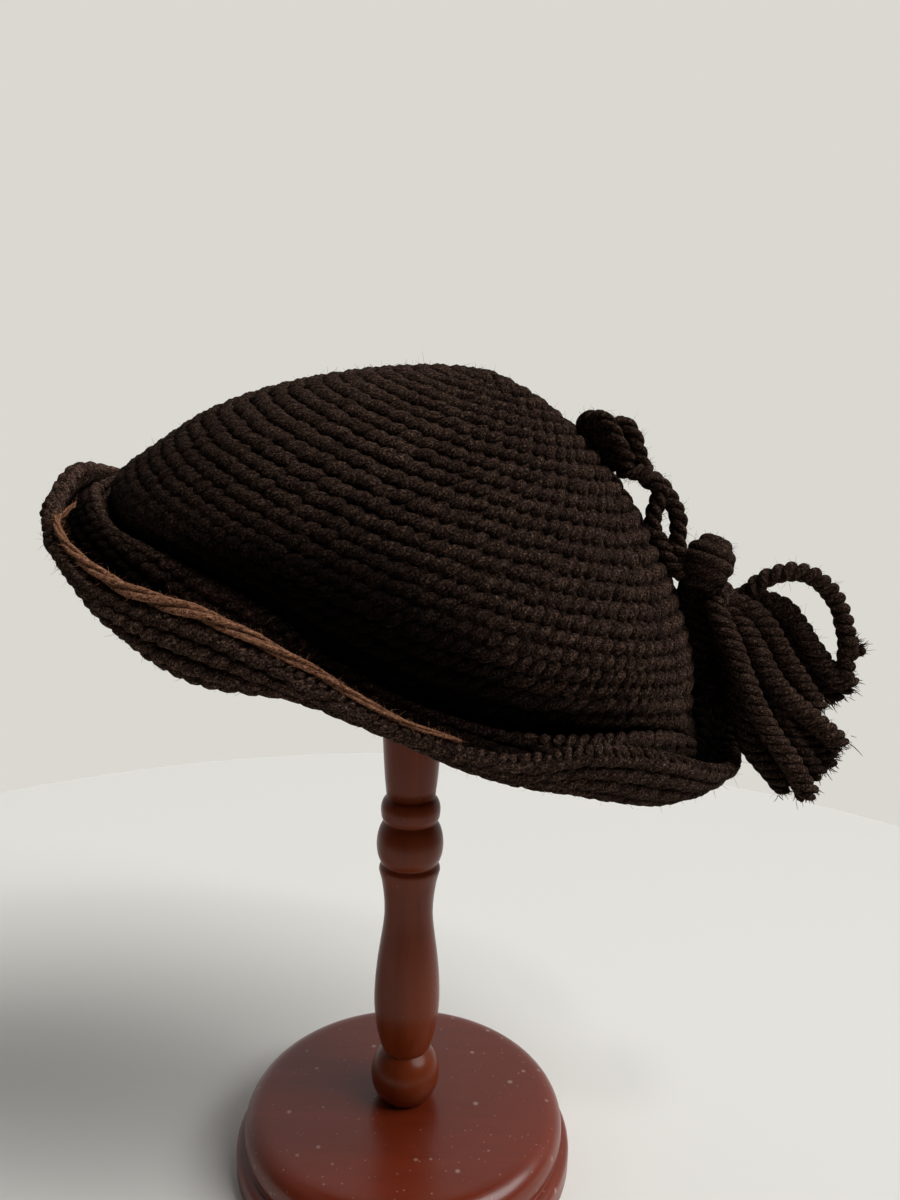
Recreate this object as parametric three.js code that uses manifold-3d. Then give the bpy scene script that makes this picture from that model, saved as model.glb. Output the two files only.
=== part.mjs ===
import * as THREE from 'three';
import { ParametricGeometry } from 'three/addons/geometries/ParametricGeometry.js';
import { mergeVertices } from 'three/addons/utils/BufferGeometryUtils.js';
import Module from 'manifold-3d';

const wasm = await Module();
wasm.setup();

// All lengths in millimetres, angles in degrees, floor at zero, up along Z
const gap = 0.3;
const cutGap = 0.4;
const fullTurn = 360;
const quarterTurn = 90;

// Place of the hat on the stand: its front end up and its near side down
const hatPlace = { x: -6, y: 5, z: 214, tilt: 23.6, roll: 10.8 };

// Crown of crocheted rows
const crownRows = 25;
const rowCrowding = 1.06;
const rowDepth = 1.2;
const crownWall = 6;
const crownTurns = 28;
const crownInnerRings = 10;
const rimReach = 0.3;
const rimDrop = 4;

// Crown sections from the rim to the top, each an ellipse that leans up at the back
const crownSections = [
  { along: 0, shift: 0, rise: 1, halfLength: 112, halfWidth: 70, lean: 1.5 },
  { along: 0.05, shift: 0, rise: 9.5, halfLength: 112.5, halfWidth: 76, lean: 2 },
  { along: 0.095, shift: -1, rise: 17.5, halfLength: 109.5, halfWidth: 80.5, lean: 3 },
  { along: 0.19, shift: -1, rise: 30, halfLength: 101.5, halfWidth: 82, lean: 4 },
  { along: 0.35, shift: -3, rise: 48, halfLength: 86, halfWidth: 73, lean: 5 },
  { along: 0.52, shift: -4.5, rise: 65, halfLength: 66, halfWidth: 57, lean: 6 },
  { along: 0.71, shift: -6.5, rise: 80.5, halfLength: 42, halfWidth: 37, lean: 7.5 },
  { along: 0.855, shift: -8, rise: 89, halfLength: 21.5, halfWidth: 19.5, lean: 8.5 },
  { along: 0.955, shift: -9, rise: 92.5, halfLength: 7, halfWidth: 6.5, lean: 9 },
  { along: 1, shift: -9.5, rise: 93, halfLength: 0, halfWidth: 0, lean: 9 },
];

// Brim: how far its ridge, lower fold, lip and edge stand out from the rim, and how high
const brimTurns = 38;
const brimPoints = 26;
const brimRowDepth = 0.9;
const brimStations = [
  { at: 0, ridge: 5, foldOut: 20, fold: -6, lipOut: 25, lip: 4, edgeOut: 26, edge: 10, thick: 6 },
  { at: 14, ridge: 7, foldOut: 21, fold: -4, lipOut: 29, lip: 11, edgeOut: 31, edge: 24, thick: 6 },
  { at: 28, ridge: 9, foldOut: 20, fold: -3, lipOut: 28, lip: 15, edgeOut: 30, edge: 33, thick: 6 },
  { at: 45, ridge: 11, foldOut: 18, fold: -2, lipOut: 24, lip: 14, edgeOut: 26, edge: 29, thick: 6 },
  { at: 65, ridge: 10, foldOut: 17, fold: -3, lipOut: 20, lip: 8, edgeOut: 21, edge: 18, thick: 6 },
  { at: 90, ridge: 5, foldOut: 16, fold: -5, lipOut: 18, lip: 2, edgeOut: 17.5, edge: 8, thick: 6 },
  { at: 115, ridge: 6, foldOut: 17, fold: -9, lipOut: 19, lip: -2, edgeOut: 18, edge: 5, thick: 6 },
  { at: 135, ridge: 8, foldOut: 18, fold: -15, lipOut: 20, lip: -6, edgeOut: 18, edge: 2, thick: 6 },
  { at: 155, ridge: 4, foldOut: 20, fold: -20, lipOut: 22.5, lip: -11, edgeOut: 19.5, edge: -4, thick: 7 },
  { at: 172, ridge: 1, foldOut: 22, fold: -23, lipOut: 25, lip: -13, edgeOut: 21, edge: -5.5, thick: 9 },
  { at: 186, ridge: 0, foldOut: 20, fold: -22, lipOut: 22, lip: -16, edgeOut: 18.5, edge: -11.5, thick: 7 },
  { at: 200, ridge: 3, foldOut: 17, fold: -22, lipOut: 18.5, lip: -16, edgeOut: 16, edge: -14, thick: 6 },
  { at: 215, ridge: 2, foldOut: 17, fold: -20, lipOut: 18, lip: -14.5, edgeOut: 16, edge: -12, thick: 6 },
  { at: 232, ridge: 7, foldOut: 17, fold: -20.5, lipOut: 18.5, lip: -13, edgeOut: 16, edge: -7.5, thick: 6 },
  { at: 248, ridge: 10, foldOut: 18, fold: -17, lipOut: 19, lip: -7, edgeOut: 17, edge: 1, thick: 6 },
  { at: 262, ridge: 6, foldOut: 17.5, fold: -8.5, lipOut: 19, lip: -2, edgeOut: 17, edge: 3, thick: 6 },
  { at: 275, ridge: 3.5, foldOut: 17, fold: -6.5, lipOut: 18.5, lip: -2.5, edgeOut: 17.5, edge: 0.5, thick: 6 },
  { at: 290, ridge: 5, foldOut: 18, fold: -7, lipOut: 19, lip: -1.5, edgeOut: 18, edge: 3.5, thick: 6 },
  { at: 303, ridge: 10, foldOut: 18, fold: -5, lipOut: 19.5, lip: 6, edgeOut: 18, edge: 15, thick: 6 },
  { at: 318, ridge: 16, foldOut: 18.5, fold: -5, lipOut: 20, lip: 6, edgeOut: 17, edge: 16, thick: 6 },
  { at: 333, ridge: 15, foldOut: 19, fold: -4.5, lipOut: 21, lip: 5, edgeOut: 19, edge: 12, thick: 6 },
  { at: 348, ridge: 9, foldOut: 20, fold: -5.5, lipOut: 23, lip: 3, edgeOut: 23, edge: 9, thick: 6 },
];

// Corners of the brim's section, from the foot under the rim along the underside to the edge and back.
// Each stands out from a place, and up from a level, that the stations set.
const brimCorners = [
  { place: 'rim', out: -5.5, level: 'seat', up: 0 },
  { place: 'rim', out: -6, level: 'ridge', up: -6.5 },
  { place: 'rim', out: -3.5, level: 'ridge', up: -9 },
  { place: 'rim', out: 1, level: 'slope', up: 0 },
  { place: 'rim', out: 5.5, level: 'sole', up: 0 },
  { place: 'fold', out: -4, level: 'fold', up: 0 },
  { place: 'fold', out: 0, level: 'fold', up: 4 },
  { place: 'lip', out: 0, level: 'lip', up: 0 },
  { place: 'edge', out: 1.5, level: 'edge', up: -2 },
  { place: 'edge', out: -1, level: 'edge', up: 0 },
  { place: 'edgeInner', out: 2.5, level: 'edge', up: -1.5 },
  { place: 'lipInner', out: 0, level: 'lip', up: 0 },
  { place: 'trough', out: 4.5, level: 'trough', up: 0 },
  { place: 'rim', out: 8.5, level: 'ridge', up: -3 },
  { place: 'rim', out: 5.5, level: 'ridge', up: 0 },
  { place: 'rim', out: 2.5, level: 'ridge', up: -2 },
  { place: 'rim', out: -0.5, level: 'seat', up: 0 },
];
const brimWall = { slopeDrop: 3, slopeLeast: 9, soleRise: 3, soleLeast: 7 };
const brimTrough = { foldRise: 7, ridgeDrop: 3.5, edgeDrop: 3 };

// Tan cord on the near and front edge of the brim
const edgingRadius = 1.9;
const edgingSides = 6;
const edgingSteps = 24;
const edgingStations = [
  { at: 174, out: 14, rise: -11.5 },
  { at: 186, out: 14, rise: -15 },
  { at: 200, out: 14.5, rise: -11.8 },
  { at: 215, out: 14.5, rise: -9.8 },
  { at: 232, out: 15, rise: -5.3 },
  { at: 248, out: 15.5, rise: 3.2 },
  { at: 262, out: 15.5, rise: 5.2 },
  { at: 275, out: 16, rise: 2.7 },
  { at: 284, out: 16.3, rise: 3.9 },
];

// Cord ornament: a wound knot, a split tie, a wound ball and a tassel
const cordSides = 6;
const endRings = 4;
const knotEnds = { from: [61, -13, 284.5], to: [76, -14, 271] };
const knotRings = 4;
const knotSteps = 9;
const knotLobes = [
  { share: 0.05, radius: 7 },
  { share: 0.5, radius: 8 },
  { share: 0.95, radius: 6.8 },
];
const knotWraps = [
  { share: 0, radius: 4.6, cord: 3.4, swing: -30 },
  { share: 0.5, radius: 6.4, cord: 3.4, swing: 20 },
  { share: 1, radius: 4.4, cord: 3.4, swing: -10 },
];
const tieRadius = 2.5;
const tieSteps = 9;
const tieStrands = [
  [[77, -14, 267], [84, -14, 263], [85, -14, 258], [82.5, -15, 249], [87.5, -15, 242], [93, -14, 236]],
  [[78, -14, 268], [86, -14, 263], [91, -13, 255], [94, -13, 247], [97, -14, 241]],
];
const ballPlace = [102.5, -14, 237.5];
const ballCore = 8.4;
const ballStretch = 1.1;
const ballRings = 5;
const ballWrap = { radius: 6.2, cord: 3, steps: 10, tilts: [20, 100] };
const headPlace = [108, -14, 223];
const headRadius = 6.5;
const headRings = 5;
const strandRadius = 4.1;
const loopRadius = 3.2;
const strandSteps = 8;
const strands = [
  [[105, -16, 225], [107, -20, 218], [111, -21, 209], [120, -22, 189], [134, -22, 170], [141, -21, 161]],
  [[106, -12, 224], [111, -14, 208], [116, -15, 190], [121, -16, 175], [127, -17, 166], [135, -17, 158]],
  [[108, -15, 224], [113, -18, 218], [120, -18, 208], [132, -18, 191], [148, -17, 179], [155, -16, 173]],
  [[110, -11, 223], [119, -11, 210], [127, -12, 195], [136, -13, 181], [152, -13, 167]],
  [[107, -15, 225], [115, -17, 223], [121, -17, 219], [127, -16, 212], [138, -14, 195], [146, -13, 185]],
  [[111, -12, 225], [123, -11, 225], [132, -10, 222], [142, -10, 209], [152, -10, 197], [162, -10, 194]],
  [[111, -10, 224], [122, -8, 214], [136, -6, 202], [148, -5, 192], [157, -5, 187]],
];
const loopPath = [
  [112, -13, 224], [116.3, -14, 226.2], [119, -15.5, 229.8], [123.3, -16.5, 233.3], [131, -16.5, 235.5],
  [138.4, -16, 234.2], [145.4, -15, 229], [150, -14, 222.8], [154.2, -13, 210], [156.4, -11, 197.8],
];
const loopSteps = 11;

// Turned wooden stand, radius and height of each turn of the profile
const standTurns = 28;
const spindleTurns = 16;
const baseTop = 22.3;
const baseProfile = [
  { r: 64, z: 0 },
  { r: 65, z: 1 },
  { r: 65, z: 7 },
  { r: 64, z: 9.2 },
  { r: 61.2, z: 10.8 },
  { r: 62, z: 13.4 },
  { r: 61.6, z: 17 },
  { r: 59.6, z: 20.2 },
  { r: 56, z: 22 },
  { r: 53, z: baseTop },
];
const spindleFoot = baseTop + gap;
const spindleTop = 268.3;
const spindleProfile = [
  { r: 8.7, z: spindleFoot },
  { r: 11.8, z: 26.4 },
  { r: 13.4, z: 32.5 },
  { r: 11.8, z: 38.6 },
  { r: 8.4, z: 43 },
  { r: 9.8, z: 45.4 },
  { r: 11.2, z: 49.5 },
  { r: 12.4, z: 56 },
  { r: 12.7, z: 63 },
  { r: 11.9, z: 78 },
  { r: 10.2, z: 90 },
  { r: 9.4, z: 99.5 },
  { r: 10.5, z: 111.6 },
  { r: 11.7, z: 115.6 },
  { r: 11.7, z: 117 },
  { r: 10.7, z: 118.8 },
  { r: 12.75, z: 126.7 },
  { r: 10.1, z: 135.6 },
  { r: 11.3, z: 141 },
  { r: 9.2, z: 145.2 },
  { r: 10, z: 155 },
  { r: 10.7, z: 165 },
  { r: 12.5, z: 200 },
  { r: 12.5, z: spindleTop },
];
const knobRadius = 30;
const knobFoot = spindleTop + gap;
const knobEdge = 6;
const knobTop = 29;
const knobRings = 6;
const knobUnder = { inset: 4, bevelInset: 1, bevelRise: 2 };

// Yarn and wood
const yarnBrown = new THREE.MeshStandardMaterial({ color: 0x2d2320, roughness: 0.95 });
const yarnTan = new THREE.MeshStandardMaterial({ color: 0x966441, roughness: 0.95 });
const woodRed = new THREE.MeshStandardMaterial({ color: 0x5a2a1c, roughness: 0.3 });

const radians = THREE.MathUtils.degToRad;

// Smooth value of one column between the rows of a table; a period closes the table on itself
function smooth(table, key, column, at, period = 0) {
  const count = table.length;
  const row = (i) => {
    const lap = period ? Math.floor(i / count) : 0;
    const held = Math.min(Math.max(i - lap * count, 0), count - 1);
    return { at: table[held][key] + lap * period, value: table[held][column] };
  };
  let i = 0;
  while (i < count - 1 && at >= row(i + 1).at) {
    i += 1;
  }
  const [before, low, high, after] = [row(i - 1), row(i), row(i + 1), row(i + 2)];
  const span = high.at - low.at;
  if (span <= 0) {
    return low.value;
  }
  const t = (at - low.at) / span;
  const lowSlope = ((high.value - before.value) / (high.at - before.at)) * span;
  const highSlope = ((after.value - low.value) / (after.at - low.at)) * span;
  const rise = high.value - low.value;
  const square = 3 * rise - 2 * lowSlope - highSlope;
  const cube = lowSlope + highSlope - 2 * rise;
  return low.value + t * (lowSlope + t * (square + t * cube));
}

// A closed skin: doubled corners joined and triangles without area dropped
function skin(geometry) {
  geometry.deleteAttribute('normal');
  geometry.deleteAttribute('uv');
  const joined = mergeVertices(geometry);
  const corners = joined.index.array;
  const kept = [];
  for (let i = 0; i < corners.length; i += 3) {
    const [a, b, c] = [corners[i], corners[i + 1], corners[i + 2]];
    if (a !== b && b !== c && c !== a) {
      kept.push(a, b, c);
    }
  }
  joined.setIndex(kept);
  return joined;
}

// A solid that can be added to and cut
function solid(geometry) {
  const closed = skin(geometry);
  const vertProperties = new Float32Array(closed.attributes.position.array);
  const triVerts = new Uint32Array(closed.index.array);
  return new wasm.Manifold(new wasm.Mesh({ numProp: 3, vertProperties, triVerts }));
}

// The named mesh of a solid
function piece(name, body, material) {
  const faces = body.getMesh();
  const geometry = new THREE.BufferGeometry();
  geometry.setAttribute('position', new THREE.BufferAttribute(faces.vertProperties, 3));
  geometry.setIndex(new THREE.BufferAttribute(faces.triVerts, 1));
  geometry.computeVertexNormals();
  const mesh = new THREE.Mesh(geometry, material);
  mesh.name = name;
  return mesh;
}

// A round cord along a smooth path
function cord(points, radius, sides, steps) {
  const path = new THREE.CatmullRomCurve3(points);
  const round = new THREE.Shape();
  round.absarc(0, 0, radius, 0, radians(fullTurn));
  const sweep = { steps, curveSegments: sides / 2, extrudePath: path, bevelEnabled: false };
  return solid(new THREE.ExtrudeGeometry(round, sweep));
}

function sphere(place, radius, rings) {
  return solid(new THREE.SphereGeometry(radius, 2 * rings, rings).translate(...place));
}

function roundEnded(points, radius, sides, steps) {
  const ends = [points[0], points[points.length - 1]];
  const balls = ends.map((end) => sphere(end.toArray(), radius, endRings));
  return balls.reduce((whole, ball) => whole.add(ball), cord(points, radius, sides, steps));
}

function vectors(rows) {
  return rows.map((row) => new THREE.Vector3(...row));
}

function ridgeAt(azimuth) {
  return smooth(brimStations, 'at', 'ridge', azimuth, fullTurn);
}

// Point of the crown: inset goes inward from the outer face, and the low rings follow the brim's ridge
function crownPoint(along, azimuth, inset, drop) {
  const part = (column) => smooth(crownSections, 'along', column, along);
  const slope = radians(quarterTurn * along);
  const turn = radians(azimuth);
  const lean = radians(part('lean'));
  const halfLength = Math.max(part('halfLength') - inset * Math.cos(slope), 0);
  const halfWidth = Math.max(part('halfWidth') - inset * Math.cos(slope), 0);
  const rimLean = crownSections[0].halfLength * Math.cos(turn) * Math.sin(radians(crownSections[0].lean));
  const rimLift = ridgeAt(azimuth) - rimDrop - crownSections[0].rise - rimLean;
  const share = Math.max(1 - along / rimReach, 0) ** 2;
  const reach = halfLength * Math.cos(turn);
  const x = part('shift') + reach * Math.cos(lean);
  const y = halfWidth * Math.sin(turn);
  const z = part('rise') - inset * Math.sin(slope) + reach * Math.sin(lean) + share * rimLift - drop;
  return new THREE.Vector3(x, y, z);
}

// Crown shell from the inner top down to the rim and up the ribbed outside to the outer top
function crownShell(grow) {
  const outerRings = 2 * crownRows;
  const rings = crownInnerRings + 1 + outerRings;
  const shell = new ParametricGeometry((u, v, target) => {
    const azimuth = fullTurn * (u % 1);
    const ring = Math.round(v * rings);
    const outer = ring - crownInnerRings - 1;
    if (outer < 0) {
      const along = 1 - ring / crownInnerRings;
      target.copy(crownPoint(along, azimuth, crownWall + grow, along > 0 ? 0 : grow));
    } else {
      const along = (outer / outerRings) ** rowCrowding;
      const valley = outer % 2 === 0 && outer < outerRings ? rowDepth : 0;
      target.copy(crownPoint(along, azimuth, valley - grow, outer > 0 ? 0 : grow));
    }
  }, crownTurns, rings);
  return solid(shell);
}

// Closed section of the brim at one azimuth, a smooth line through its corners with a rib for each row
function brimSection(azimuth) {
  const part = (column) => smooth(brimStations, 'at', column, azimuth, fullTurn);
  const [ridge, fold, lip, edge] = ['ridge', 'fold', 'lip', 'edge'].map(part);
  const [foldOut, lipOut, edgeOut, thick] = ['foldOut', 'lipOut', 'edgeOut', 'thick'].map(part);
  const outs = {
    rim: 0,
    fold: foldOut,
    lip: lipOut,
    edge: edgeOut,
    edgeInner: edgeOut - thick,
    lipInner: lipOut - thick,
    trough: foldOut / 2 - thick / 4,
  };
  const levels = {
    ridge,
    fold,
    lip,
    edge,
    seat: ridge - rimDrop - gap,
    slope: Math.min((ridge + fold) / 2 - brimWall.slopeDrop, ridge - brimWall.slopeLeast),
    sole: Math.min(fold + brimWall.soleRise, ridge - brimWall.soleLeast),
    trough: Math.min(fold + brimTrough.foldRise, ridge - brimTrough.ridgeDrop, edge - brimTrough.edgeDrop),
  };
  const corners = brimCorners.map(({ place, out, level, up }) => (
    new THREE.Vector3(outs[place] + out, 0, levels[level] + up)
  ));
  const line = new THREE.CatmullRomCurve3(corners, true, 'centripetal');
  return line.getSpacedPoints(brimPoints).map((point, i) => {
    const along = line.getTangentAt(i / brimPoints);
    const valley = i % 2 ? brimRowDepth : 0;
    return { out: point.x - valley * along.z, rise: point.z + valley * along.x };
  });
}

// Place on the oval of the rim, a distance out from it
function rimPlace(azimuth, out, rise) {
  const [oval] = crownSections;
  const turn = radians(azimuth);
  const x = (oval.halfLength + out) * Math.cos(turn);
  const y = (oval.halfWidth + out) * Math.sin(turn);
  return new THREE.Vector3(x, y, rise);
}

function brimBody() {
  const sections = Array.from({ length: brimTurns }, (none, i) => brimSection((fullTurn * i) / brimTurns));
  const ring = new ParametricGeometry((u, v, target) => {
    const station = Math.round(u * brimTurns) % brimTurns;
    const { out, rise } = sections[station][Math.round(v * brimPoints) % brimPoints];
    target.copy(rimPlace((fullTurn * station) / brimTurns, out, rise));
  }, brimTurns, brimPoints);
  return solid(ring);
}

function edgingBody(radius) {
  const first = edgingStations[0].at;
  const last = edgingStations[edgingStations.length - 1].at;
  const points = Array.from({ length: edgingSteps / 2 + 1 }, (none, i) => {
    const azimuth = first + ((last - first) * 2 * i) / edgingSteps;
    const part = (column) => smooth(edgingStations, 'at', column, azimuth);
    return rimPlace(azimuth, part('out'), part('rise'));
  });
  return roundEnded(points, radius, edgingSides, edgingSteps);
}

// Knot of plump lobes in a row with slanting wraps of cord round them
function knotBody(grow) {
  const [from, to] = vectors([knotEnds.from, knotEnds.to]);
  const along = (share) => from.clone().lerp(to, share).toArray();
  const lobes = knotLobes.map(({ share, radius }) => sphere(along(share), radius + grow, knotRings));
  const wraps = knotWraps.map(({ share, radius, cord: thick, swing }) => {
    const axis = to.clone().sub(from).applyAxisAngle(new THREE.Vector3(0, 1, 0), radians(swing));
    const ring = new THREE.TorusGeometry(radius, thick + grow, cordSides, knotSteps).lookAt(axis);
    return solid(ring.translate(...along(share)));
  });
  return wraps.reduce((whole, wrap) => whole.add(wrap), lobes.reduce((whole, lobe) => whole.add(lobe)));
}

// Ball of cord, taller than wide: a core with wraps of cord round it
function ballBody(grow) {
  const place = (geometry) => solid(geometry.scale(1, 1, ballStretch).translate(...ballPlace));
  const core = place(new THREE.SphereGeometry(ballCore + grow, 2 * ballRings, ballRings));
  const wraps = ballWrap.tilts.map((tilt) => {
    const ring = new THREE.TorusGeometry(ballWrap.radius, ballWrap.cord + grow, cordSides, ballWrap.steps);
    return place(ring.rotateX(radians(tilt)).rotateZ(radians(tilt / 2)));
  });
  return wraps.reduce((whole, wrap) => whole.add(wrap), core);
}

function tieBody() {
  const [left, right] = tieStrands.map((rows) => cord(vectors(rows), tieRadius, cordSides, tieSteps));
  return left.add(right);
}

// Cords fused to a gathered head, one of them a loop
function tasselBody() {
  const cords = strands.map((rows) => cord(vectors(rows), strandRadius, cordSides, strandSteps));
  const loop = cord(vectors(loopPath), loopRadius, cordSides, loopSteps);
  return [loop, ...cords].reduce((whole, one) => whole.add(one), sphere(headPlace, headRadius, headRings));
}

// Turned solid from a profile of radii and heights, closed on the axis
function turned(profile, turns) {
  const inner = profile.map(({ r, z }) => new THREE.Vector2(r, z));
  const first = new THREE.Vector2(0, profile[0].z);
  const last = new THREE.Vector2(0, profile[profile.length - 1].z);
  return solid(new THREE.LatheGeometry([first, ...inner, last], turns).rotateX(radians(quarterTurn)));
}

// Low dome that carries the hat from inside
function knobBody() {
  const dome = Array.from({ length: knobRings }, (none, i) => {
    const slope = radians((quarterTurn * i) / knobRings);
    return { r: knobRadius * Math.cos(slope), z: knobFoot + knobEdge + (knobTop - knobEdge) * Math.sin(slope) };
  });
  const under = { r: knobRadius - knobUnder.inset, z: knobFoot };
  const bevel = { r: knobRadius - knobUnder.bevelInset, z: knobFoot + knobUnder.bevelRise };
  const top = { r: 0, z: knobFoot + knobTop };
  return turned([under, bevel, ...dome, top], standTurns);
}

const hat = new THREE.Group();
hat.name = 'hat';
hat.position.set(hatPlace.x, hatPlace.y, hatPlace.z);
hat.rotation.set(radians(hatPlace.roll), radians(hatPlace.tilt), 0, 'YXZ');
hat.updateMatrix();

const crownRoom = crownShell(cutGap);
const crownRoomPlaced = crownRoom.transform(hat.matrix.elements);
const edgingRoom = edgingBody(edgingRadius + cutGap);
const knotRoom = knotBody(cutGap);
const ballRoom = ballBody(cutGap);
hat.add(
  piece('crown', crownShell(0), yarnBrown),
  piece('brim', brimBody().subtract(crownRoom).subtract(edgingRoom), yarnBrown),
  piece('edging', edgingBody(edgingRadius), yarnTan),
);

const object = new THREE.Group();
object.name = 'hat_on_stand';
object.add(
  hat,
  piece('knot', knotBody(0).subtract(crownRoomPlaced), yarnBrown),
  piece('tie', tieBody().subtract(knotRoom).subtract(ballRoom).subtract(crownRoomPlaced), yarnBrown),
  piece('ball', ballBody(0), yarnBrown),
  piece('tassel', tasselBody().subtract(ballRoom), yarnBrown),
  piece('stand_base', turned(baseProfile, standTurns), woodRed),
  piece('stand_spindle', turned(spindleProfile, spindleTurns), woodRed),
  piece('stand_top', knobBody(), woodRed),
);

export default object;
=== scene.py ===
import math
import bpy
import mathutils
import numpy as np
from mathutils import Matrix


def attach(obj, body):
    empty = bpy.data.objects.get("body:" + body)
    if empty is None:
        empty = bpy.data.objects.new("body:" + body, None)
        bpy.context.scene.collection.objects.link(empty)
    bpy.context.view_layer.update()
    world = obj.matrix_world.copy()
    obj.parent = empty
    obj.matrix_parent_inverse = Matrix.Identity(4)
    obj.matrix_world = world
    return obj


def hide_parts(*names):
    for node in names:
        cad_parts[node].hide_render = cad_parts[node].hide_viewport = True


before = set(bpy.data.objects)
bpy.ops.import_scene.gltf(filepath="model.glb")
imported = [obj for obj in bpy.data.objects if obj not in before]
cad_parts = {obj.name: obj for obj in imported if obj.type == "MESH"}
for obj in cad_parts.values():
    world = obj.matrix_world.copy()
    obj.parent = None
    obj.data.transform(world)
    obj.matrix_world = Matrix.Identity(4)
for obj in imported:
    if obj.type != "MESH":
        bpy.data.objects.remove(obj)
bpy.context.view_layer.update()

mm = 0.001
rng = np.random.default_rng(11)
print("frame loaded")


# sRGB hex to linear colour: c / 12.92 below 0.04045, else ((c + 0.055) / 1.055) to the power 2.4
def colour(hexText):
    parts = np.array([int(hexText[i:i + 2], 16) for i in (1, 3, 5)]) / 255
    linear = np.where(parts < 0.04045, parts / 12.92, ((parts + 0.055) / 1.055) ** 2.4)
    return (*[float(part) for part in linear], 1.0)


# One output of a new node with its settings; an input given as a socket is linked, any other value is set
def addNode(tree, kind, inputs=None, out=0, **settings):
    made = tree.nodes.new("ShaderNode" + kind)
    for name, value in settings.items():
        setattr(made, name, value)
    for name, value in (inputs or {}).items():
        if isinstance(value, bpy.types.NodeSocket):
            tree.links.new(value, made.inputs[name])
        else:
            made.inputs[name].default_value = value
    return made.outputs[out]


# Stops of a colour ramp from (place, hex) pairs, in order
def setStops(ramp, stops):
    elements = ramp.node.color_ramp.elements
    while len(elements) < len(stops):
        elements.new(0.5)
    for element, (place, hexText) in zip(elements, stops):
        element.position = place
        element.color = colour(hexText)
    return ramp


# A new material, its node tree and its shader, with constant values on the shader's own sockets
def newMaterial(name, values):
    material = bpy.data.materials.new(name)
    material.use_nodes = True
    shader = material.node_tree.nodes["Principled BSDF"]
    for socket, value in values.items():
        shader.inputs[socket].default_value = value
    return material, material.node_tree, shader


mixShare, mixFirst, mixSecond, mixResult = 0, 6, 7, 2  # sockets of a Mix node that mixes colours
bandSpan = 0.314  # width of one band of a wave texture at scale 1
dustColour = "#b59a8c"


# Spun wool: matt and fuzzy, faint plies, curly lighter and darker fibres, a thin sheen at grazing angles;
# its colour is (the fibres' stops, flecked by a finer grain) * (ply shade + 1.02) * tone; the ply wave paints
# shade between the plies
def spunWool(name, look):
    material, tree, shader = newMaterial(name, {
        "Roughness": 0.95, "Specular IOR Level": 0.02, "Sheen Weight": look["sheen"], "Sheen Roughness": 0.5,
        "Sheen Tint": colour(look["sheenColour"])})
    yarn = addNode(tree, "UVMap", uv_map="yarn")
    lay = addNode(tree, "Mapping", {"Vector": yarn, "Rotation": (0, 0, look["twist"])})
    ply = addNode(tree, "TexWave", {"Vector": lay, "Scale": bandSpan / look["ply"], "Distortion": 2.5,
                                    "Detail": 1.0, "Detail Scale": 0.5}, "Fac", bands_direction="Y")
    drawn = addNode(tree, "Mapping", {"Vector": lay, "Scale": (0.55, 1.9, 1)})
    fibre = addNode(tree, "TexNoise", {"Vector": drawn, "Scale": 1.0, "Detail": 4.0, "Roughness": 0.75,
                                       "Distortion": 0.8}, "Fac")  # fibres of about 1 mm, drawn coarse to show
    body = setStops(addNode(tree, "ValToRGB", {"Fac": fibre}), look["stops"])
    place = addNode(tree, "TexCoord", out="Object")
    grain = addNode(tree, "TexNoise", {"Vector": place, "Scale": 1500.0, "Detail": 2.0,
                                       "Distortion": 0.6}, "Fac")  # curls of about 0.7 mm
    fleck = addNode(tree, "MapRange", {"Value": grain, "From Min": 0.52, "From Max": 0.72,
                                       "To Max": look["fleck"]})
    flecked = addNode(tree, "Mix", {mixShare: fleck, mixFirst: body, mixSecond: colour(look["fleckColour"])},
                      mixResult, data_type="RGBA")
    # painted shade and light: the tone attribute is a random tone times shade painted into folds, grooves and
    # the gaps between plies and cords, with light painted on the ridge and outer brim
    tone = addNode(tree, "Attribute", None, "Fac", attribute_name="tone")
    plies = addNode(tree, "Math", {0: ply, 1: look["plyShade"], 2: 1.02}, operation="MULTIPLY_ADD")
    shade = addNode(tree, "Math", {0: plies, 1: tone}, operation="MULTIPLY")
    toned = addNode(tree, "HueSaturation", {"Color": flecked, "Value": shade})
    height = addNode(tree, "Math", {0: grain, 1: 0.9, 2: fibre}, operation="MULTIPLY_ADD")
    bump = addNode(tree, "Bump", {"Height": height, "Strength": 0.9, "Distance": look["relief"] * mm})
    tree.links.new(toned, shader.inputs["Base Color"])
    tree.links.new(bump, shader.inputs["Normal"])
    return material


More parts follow.
